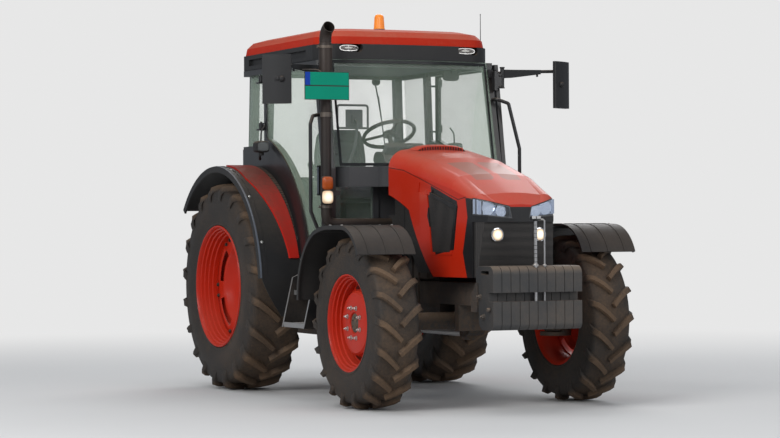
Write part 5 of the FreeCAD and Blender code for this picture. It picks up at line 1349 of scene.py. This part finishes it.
@on_both_sides
def step_grip(work, side):
    for low, x0, x1, y0, y1 in ((0.540, 1.135, 1.480, 0.735, 0.915), (0.765, 1.135, 1.480, 0.700, 0.832)):
        across = 8 if y1 - y0 > 0.15 else 6
        for i in range(15):
            for j in range(across):
                x = x0 + (x1 - x0) * (i + 0.5 + 0.25 * (j % 2)) / 15.5
                y = side * (y0 + (y1 - y0) * (j + 0.5) / across)
                spun(work, at(x, y, low - 0.001), UP, [(0.0075, 0), (0.0062, 0.004), (0.004, 0.0045)], 8)
        for y, drop in ((y0 - 0.004, 0.012), (y1 + 0.0085, 0.028)):
            box(work, 1.115, 1.495, side * y - 0.002, side * y + 0.002, low - drop, low + 0.006)
    for x in (1.107, 1.487):
        strip(work, [[at(x, side * y, z), at(x + 0.016, side * y, z)]
                     for y, z in ((0.9325, 0.512), (0.8525, 0.861), (0.812, 0.880))], 0.003)


def tank_straps(work):
    line = [(0.326, 0.55), (0.326, 0.90), (0.345, 0.934), (0.61, 0.934), (0.634, 0.91), (0.634, 0.54),
            (0.61, 0.516),
            (0.35, 0.516)]
    for x in (0.935, 1.035):
        strip(work, [[at(x - 0.015, y, z), at(x + 0.015, y, z)] for y, z in line], 0.002)
        bolt(work, at(x, 0.640, 0.70), (0, 1, 0), 0.008, 0.012)


def tank_filler(work):
    foot = at(0.985, 0.50, 0.928)
    spun(work, foot, UP,
         [(0.040, 0), (0.040, 0.022), (0.050, 0.024), (0.050, 0.052), (0.046, 0.060), (0.0005, 0.062)])
    for grip in ring(foot + Vector((0, 0, 0.026)), Vector((1, 0, 0)), Vector((0, 1, 0)), 0.0495, 10):
        spun(work, grip, UP, [(0.006, 0), (0.006, 0.024), (0.004, 0.028)], 8)


piece("step_grip", step_grip, "chassis", step_steel, 30)
piece("tank_straps", tank_straps, "chassis", steel_dark, 30)
piece("tank_filler", tank_filler, "chassis", black_plastic, 30)


# Front weights: clamp rod and carrier pin; sight post: marks, cap and stay

POST_X = 3.160


def weight_rod(work):
    for _, side in SIDES:
        for x, z in ((3.010, 0.760), (3.060, 0.632)):
            bolt(work, at(x, side * 0.329, z), (0, side, 0), 0.015, 0.016)
            spun(work, at(x, side * 0.344, z), (0, side, 0),
                 [(0.009, -0.004), (0.009, 0.012), (0.007, 0.014)], 14)
    spun(work, at(3.150, -0.334, 0.681), (0, 1, 0),
         [(0.011, -0.02), (0.013, -0.016), (0.013, 0.0), (0.009, 0.004)], 18)


def post_marks(work):
    for k in range(11):
        if k != 5:
            spun(work, at(POST_X, 0, 0.985 + 0.0265 * k), UP, [
                (0.0110, 0), (0.0116, 0.0005), (0.0116, 0.0028), (0.0110, 0.0033)], 24)
    spun(work, at(POST_X, 0, 1.252), UP, [(0.0135, -0.002), (0.0145, 0.002), (0.0145, 0.030), (0.012, 0.032)],
         24)
    box(work, POST_X - 0.012, POST_X + 0.012, -0.0335, 0.0335, 1.259, 1.281)


def post_stay(work):
    tube(work, [(POST_X, 0.066, 1.248), (POST_X, 0.060, 1.262), (POST_X, 0.022, 1.262)], 0.005, 10)
    spun(work, at(POST_X, 0.066, 0.958), UP, [(0.014, 0), (0.014, 0.007), (0.009, 0.012)], 18)
    spun(work, at(POST_X, 0.0, 0.958), UP, [(0.020, 0), (0.020, 0.008), (0.013, 0.016)], 18)


piece("weight_rod", weight_rod, "chassis", steel_dark, 30)
piece("post_marks", post_marks, "chassis", black_plastic, 30)
piece("post_stay", post_stay, "chassis", stud_steel, 30)


# Engine bay, axle and hitch fittings

def engine_fittings(work):
    for _, side in SIDES:
        y = side * 0.240
        for k in range(7):
            box(work, 1.32 + 0.10 * k, 1.332 + 0.10 * k, y, y + side * 0.014, 0.66, 1.05)
        for k in range(8):
            for z in (0.635, 1.255):
                bolt(work, at(1.27 + 0.10 * k, y + side * 0.001, z), (0, side, 0), 0.011, 0.010)
    # filters on the right, with the shelf behind them; starter and rail on the left
    spun(work, at(1.62, -0.286, 0.80), UP,
         [(0.030, 0), (0.046, 0.01), (0.046, 0.13), (0.040, 0.14), (0.034, 0.16)])
    spun(work, at(1.46, -0.292, 1.02), (1, 0, 0), [(0.04, 0), (0.05, 0.01), (0.05, 0.13), (0.036, 0.14),
                                                   (0.036, 0.22)])
    box(work, 1.58, 1.66, -0.290, -0.236, 0.92, 0.98)
    spun(work, at(1.90, 0.292, 1.05), (1, 0, 0), [(0.05, 0), (0.062, 0.01), (0.062, 0.08), (0.05, 0.09)])
    box(work, 1.46, 1.80, 0.236, 0.262, 1.10, 1.16)


def axle_fittings(work):
    for _, side in SIDES:
        for angle in range(0, 360, 45):
            bolt(work, over_axle(0.105, angle, side * 0.560), (0, side, 0), 0.011, 0.012)
    for y in (-0.10, 0.0, 0.10):
        for z in (0.62, 0.86, 1.02):
            bolt(work, at(-0.331, y, z), (-1, 0, 0), 0.010, 0.010)


def on_couplers(work, x, profile):
    """A turned form on each of the six hydraulic couplers, looking back."""
    for row in range(2):
        for column in range(3):
            spun(work, at(x, 0.135 + 0.055 * column, 0.985 + 0.075 * row), (-1, 0, 0), profile, 24)


def couplers(work):
    on_couplers(work, -0.335, [(0.021, -0.03), (0.021, 0.02), (0.024, 0.021), (0.024, 0.034), (0.020, 0.036)])


def coupler_caps(work):
    on_couplers(work, -0.371, [(0.019, -0.002), (0.0195, 0.010), (0.017, 0.016), (0.0005, 0.017)])


piece("engine_fittings", engine_fittings, "chassis", grey_cast, 30)
piece("axle_fittings", axle_fittings, "chassis", steel_dark, 30)
piece("couplers", couplers, "chassis", stud_steel, 30)
piece("coupler_caps", coupler_caps, "chassis", red_plastic, 30)


# Cab inside: seat cushions

def cushion_form(work, sections, power):
    """A closed form through sections: place along, height, half along and half across."""
    rows = []
    for x, z, half_x, half_y in sections:
        outline = oval(0, 0, half_x, half_y, 48, power)
        rows.append([at(x, 0, z) + Vector((along, across, 0)) for along, across in outline])
    closed(work, rows)


def baked(item, frames=0):
    """The item's mesh with its modifiers applied, after stepping the scene for the cloth."""
    scene = bpy.context.scene
    for step in range(1, frames + 1):
        scene.frame_set(step)
    graph = bpy.context.evaluated_depsgraph_get()
    mesh = bpy.data.meshes.new_from_object(item.evaluated_get(graph), depsgraph=graph)
    item.modifiers.clear()
    scene.frame_set(1)
    return mesh


def stuffed(name, sections, power, cap):
    """A cover filled under pressure: remeshed evenly, swollen as cloth, no point further than the cap."""
    item = bpy.data.objects.new(name, meshed(cushion_form, sections, power))
    bpy.context.scene.collection.objects.link(item)
    even = item.modifiers.new("even", "REMESH")
    even.mode = "VOXEL"
    even.voxel_size = 0.0065
    item.data = baked(item)
    start = [Vector(v.co) for v in item.data.vertices]
    cover = item.modifiers.new("cover", "CLOTH")
    cover.settings.use_pressure = True
    cover.settings.uniform_pressure_force = 4
    cover.settings.tension_stiffness = 12
    cover.settings.bending_stiffness = 0.6
    cover.settings.effector_weights.gravity = 0
    cover.collision_settings.use_collision = False
    item.data = baked(item, 20)
    for vertex, origin in zip(item.data.vertices, start):
        moved = vertex.co - origin
        if moved.length > cap:
            vertex.co = origin + moved.normalized() * cap
    return item


def seams(axis, places, half):
    """Distance functions of the seams: one along each side, and cross seams at places between them."""
    def side_seam(point):
        return abs(abs(point.y) - half)

    def cross_seam(place):
        return lambda point: abs(point[axis] - place) if abs(point.y) < half else 1.0
    return [side_seam] + [cross_seam(place) for place in places]


def sewn(item, lines, way):
    """Draws the cover in along seams on the side that looks the given way."""
    for vertex in item.data.vertices:
        normal = vertex.normal
        if normal.dot(way) < 0.15:
            continue
        pull = sum(math.exp(-(line(vertex.co) / 0.010) ** 2) for line in lines)
        vertex.co -= normal * 0.009 * min(pull, 1.0)


def finished_cushion(item, floor=None):
    """Rests the underside flat, rounds the mesh and hands it to its body."""
    if floor is not None:
        for vertex in item.data.vertices:
            vertex.co.z = max(vertex.co.z, floor)
    item.data.materials.clear()
    item.data.materials.append(cloth)
    item.data.shade_smooth()
    rounding = item.modifiers.new("rounding", "SUBSURF")
    rounding.levels = 1
    rounding.render_levels = 1
    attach(item, "chassis")


CUSHION_LEVELS = [
    # height, half along, half across
    (1.4270, 0.205, 0.205), (1.4285, 0.216, 0.214), (1.455, 0.221, 0.220), (1.488, 0.216, 0.216),
    (1.505, 0.196, 0.198), (1.509, 0.150, 0.160),
]
BACK_LEVELS = [
    (1.500, 0.030, 0.190), (1.512, 0.038, 0.205), (1.60, 0.042, 0.214), (1.75, 0.040, 0.212),
    (1.88, 0.037, 0.196), (1.955, 0.032, 0.168), (1.972, 0.022, 0.145),
]


cushion = stuffed("seat_cushion", [(0.312, *level) for level in CUSHION_LEVELS], 6, 0.016)
sewn(cushion, seams(0, [at(x, 0, 0).x for x in (0.40, 0.30, 0.20)], 0.140), Vector((0, 0, 1)))
finished_cushion(cushion, 1.4265)
back = stuffed("seat_back", [(0.070 - (level[0] - 1.50) * 0.03, *level) for level in BACK_LEVELS], 5, 0.014)
sewn(back, seams(2, (1.66, 1.76, 1.86), 0.130), Vector((1, 0, 0)))
finished_cushion(back)
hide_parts("seat")


def seat_shell(work):
    """Moulded shell behind the back and pan under the cushion."""
    rows = []
    for z, half in ((1.46, 0.17), (1.50, 0.195), (1.62, 0.208), (1.78, 0.205), (1.90, 0.185), (1.955, 0.155)):
        x = 0.024 - (z - 1.50) * 0.03
        rows.append([at(x + 0.012 * (k / 6 - 1) ** 2, half * (k / 6 - 1), z) for k in range(13)])
    strip(work, rows, 0.008)
    slab(work,
         [(0.085, -0.205), (0.505, -0.205), (0.525, -0.185), (0.525, 0.185), (0.505, 0.205), (0.085, 0.205)],
         1.4255, 1.4285, "z")


@on_both_sides
def armrests(work, side):
    outline = [(0.10, 0.250), (0.36, 0.250), (0.385, 0.262), (0.36, 0.292), (0.10, 0.292)]
    slab(work, [(x, side * y) for x, y in outline], 1.655, 1.690, "z")
    box(work, 0.085, 0.115, side * 0.205, side * 0.262, 1.60, 1.66)


piece("seat_shell", seat_shell, "chassis", cab_trim)
softened(piece("armrests", armrests, "chassis", soft_rubber), 0.010, 3)


# Cab inside: instruments, monitor, levers, pedals, mirror

PANEL_TILT = Vector((-0.75, 0, 0.66)).normalized()


def instruments(work):
    lean = Vector((0.66, 0, 0.75))
    rows = []
    for depth, half_y, half_up in ((-0.03, 0.150, 0.080), (0.022, 0.150, 0.080), (0.028, 0.142, 0.072),
                                   (0.020, 0.132, 0.062)):
        rows.append([at(1.150, 0, 1.748) + PANEL_TILT * depth + Vector((0, y, 0)) + lean * up for y, up in (
            (-half_y, -half_up), (half_y, -half_up), (half_y, half_up), (-half_y, half_up))])
    closed(work, rows)


def dials(work):
    across = Vector((0, 1, 0))
    up = PANEL_TILT.cross(across).normalized()
    for y, radius in ((-0.082, 0.040), (0.0, 0.046), (0.082, 0.040)):
        foot = at(1.150, y, 1.748) + PANEL_TILT * 0.020
        spun(work, foot, PANEL_TILT,
             [(radius, 0), (radius, 0.006), (radius * 0.9, 0.007), (radius * 0.88, 0.003)], 36)
        for k in range(11):
            turn = math.radians(-130 + 26 * k)
            spot = foot + PANEL_TILT * 0.004 + (across * math.sin(turn) + up * math.cos(turn)) * radius * 0.72
            spun(work, spot, PANEL_TILT, [(0.0016, 0), (0.0016, 0.001)], 6)


def monitor(work):
    """Screen on its bracket beside the wheel, with a rail round it."""
    box(work, 1.030, 1.050, -0.395, -0.265, 1.930, 2.065)
    box(work, 1.050, 1.062, -0.355, -0.305, 1.965, 2.030)
    tube(work, [(1.060, -0.33, 1.99), (1.10, -0.33, 1.97), (1.10, -0.35, 1.80), (1.04, -0.40, 1.60),
                (1.04, -0.42, 1.565)], 0.011, 14)
    rail = [(1.07, -0.475, 1.93), (1.07, -0.475, 2.095), (1.07, -0.235, 2.095), (1.07, -0.235, 1.93)]
    tube(work, rail, 0.008, 12, 0.02)
    tube(work, [rail[0], rail[-1]], 0.008, 12)


def levers(work):
    for x, y, z, lean in ((0.62, -0.37, 1.545, 0.03), (0.56, -0.37, 1.56, 0.02), (0.62, -0.44, 1.55, 0.03),
                          (0.50, -0.44, 1.56, 0.0), (0.42, -0.40, 1.56, -0.02)):
        tube(work, [(x, y, z - 0.02), (x + lean, y, z + 0.10)], 0.006, 10)
        spun(work, at(x + lean, y, z + 0.095), (lean, 0, 0.1), [
            (0.010, 0), (0.017, 0.012), (0.019, 0.03), (0.015, 0.045), (0.0005, 0.05)], 18)
    # stalks on the column
    for _, side in SIDES:
        tube(work, [(1.00, side * 0.03, 1.78), (0.985, side * 0.13, 1.80), (0.975, side * 0.155, 1.815)],
                  0.008, 12)


def pedals(work):
    pad = ((-0.012, 0.0), (0.004, 0.012), (0.030, -0.060), (0.014, -0.070))
    for y, wide in ((-0.275, 0.045), (-0.195, 0.035), (0.215, 0.040)):
        tube(work, [(1.30, y, 1.36), (1.22, y, 1.20), (1.17, y, 1.10)], 0.008, 10)
        closed(work, [[at(1.165 + dx, edge, 1.10 + dz) for dx, dz in pad] for edge in (y - wide, y + wide)])


def inside_mirror(work):
    facing(work, 0.385, 2.318, [(1.168, 0.062, 0.036), (1.178, 0.066, 0.040), (1.190, 0.062, 0.036)], 28, 4)
    tube(work, [(1.185, 0.385, 2.33), (1.215, 0.385, 2.375), (1.215, 0.385, 2.408)], 0.006, 10)


def headliner(work):
    slab(work,
         [(-0.20, -0.60), (1.17, -0.60), (1.24, -0.40), (1.27, 0.0), (1.24, 0.40), (1.17, 0.60),
          (-0.20, 0.60)],
         2.392, 2.4095, "z")


softened(piece("instruments", instruments, "chassis", cab_trim), 0.006)
piece("dials", dials, "chassis", pale_trim)
softened(piece("monitor", monitor, "chassis", pale_trim), 0.004)
piece("levers", levers, "chassis", soft_rubber)
piece("pedals", pedals, "chassis", black_paint)
piece("inside_mirror", inside_mirror, "chassis", black_plastic)
piece("headliner", headliner, "chassis", roof_lining)


def wheel_boss(work):
    """Blank boss of the steering wheel."""
    tilt = math.radians(28)
    spun(work, at(0.930, 0, 1.895), (-math.sin(tilt), 0, math.cos(tilt)), [
        (0.045, -0.012), (0.050, 0.0), (0.046, 0.012), (0.034, 0.019), (0.0005, 0.021)], 32)


piece("wheel_boss", wheel_boss, "hand_wheel", soft_rubber)


# Floor, light and camera

BACKDROP = (0.80, 0.80, 0.80)


def studio():
    """A pale floor that fades into the backdrop far off, and lamps all round."""
    floor_mesh = meshed(lambda work: skin(work, [
        [(x, y, 0) for x in (-60, 60)] for y in (-60, 60)]))
    floor = bpy.data.objects.new("floor", floor_mesh)
    bpy.context.scene.collection.objects.link(floor)
    f = Finish("pale_floor")
    f.set(base_color=f.mix(f.noise(0.6), (0.60, 0.595, 0.585), (0.63, 0.625, 0.615)), roughness=0.9,
          specular_ior_level=0.1)
    flat = f.add("ShaderNodeVectorMath", {"operation": "LENGTH"}, {0: f.place}, "Value")
    seen = f.add("ShaderNodeLightPath", {}, {}, "Is Camera Ray")
    pale = f.add("ShaderNodeEmission", {}, {"Color": BACKDROP, "Strength": 1.0})
    joined = f.add("ShaderNodeMixShader", {}, {
        0: flat.over(2.8, 11.0) * seen, 1: Field(f, f.shader.outputs[0]), 2: pale})
    f.tree.links.new(joined.socket, f.tree.nodes["Material Output"].inputs["Surface"])
    floor_mesh.materials.append(f.material)

    world = bpy.data.worlds.new("studio")
    bpy.context.scene.world = world
    world.use_nodes = True
    tree = world.node_tree
    sky = tree.nodes["Background"]
    sky.inputs["Color"].default_value = (0.80, 0.86, 0.95, 1)
    sky.inputs["Strength"].default_value = 0.42
    pale = tree.nodes.new("ShaderNodeBackground")
    pale.inputs["Color"].default_value = (*BACKDROP, 1)
    pale.inputs["Strength"].default_value = 1.0
    rays = tree.nodes.new("ShaderNodeLightPath")
    seen = tree.nodes.new("ShaderNodeMath")
    seen.operation = "MAXIMUM"
    tree.links.new(rays.outputs["Is Camera Ray"], seen.inputs[0])
    tree.links.new(rays.outputs["Is Transmission Ray"], seen.inputs[1])
    choose = tree.nodes.new("ShaderNodeMixShader")
    tree.links.new(seen.outputs[0], choose.inputs[0])
    tree.links.new(sky.outputs[0], choose.inputs[1])
    tree.links.new(pale.outputs[0], choose.inputs[2])
    tree.links.new(choose.outputs[0], tree.nodes["World Output"].inputs["Surface"])

    lamps = [
        # name, place, aim, size, power
        ("key", (5.5, -8.5, 6.5), (0.3, 0, 1.0), 5.0, 640),
        ("fill", (11.0, 4.0, 5.0), (0.5, 0, 1.0), 6.0, 330),
        ("rim", (-7.0, 5.0, 7.0), (0, 0, 1.2), 6.0, 380),
        ("top", (0.5, -1.0, 9.0), (0, 0, 1.0), 6.0, 200),
    ]
    for name, place, aim, size, power in lamps:
        lamp = bpy.data.lights.new(name, "AREA")
        lamp.size = size
        lamp.energy = power
        item = bpy.data.objects.new(name, lamp)
        bpy.context.scene.collection.objects.link(item)
        item.location = place
        item.rotation_euler = (Vector(aim) - Vector(place)).to_track_quat("-Z", "Y").to_euler()


def camera():
    """The photograph's camera, found from the wheels' outlines."""
    place = at(16.864, -7.477, 1.251)
    yaw, pitch, roll = (math.radians(a) for a in (25.15, 0.07, -0.34))
    ahead = Vector((-math.cos(yaw) * math.cos(pitch), math.sin(yaw) * math.cos(pitch), math.sin(pitch)))
    right = ahead.cross(Vector((0, 0, 1))).normalized()
    up = right.cross(ahead)
    right, up = (right * math.cos(roll) + up * math.sin(roll), up * math.cos(roll) - right * math.sin(roll))
    data = bpy.data.cameras.new("camera")
    data.sensor_width = 36
    focal_pixels, image_width = 2400, 780
    data.lens = focal_pixels * data.sensor_width / image_width
    data.clip_end = 200
    item = bpy.data.objects.new("camera", data)
    bpy.context.scene.collection.objects.link(item)
    item.matrix_world = Matrix.Translation(place) @ Matrix((right, up, -ahead)).transposed().to_4x4()
    bpy.context.scene.camera = item


studio()
camera()
bpy.context.scene.view_settings.view_transform = "Standard"
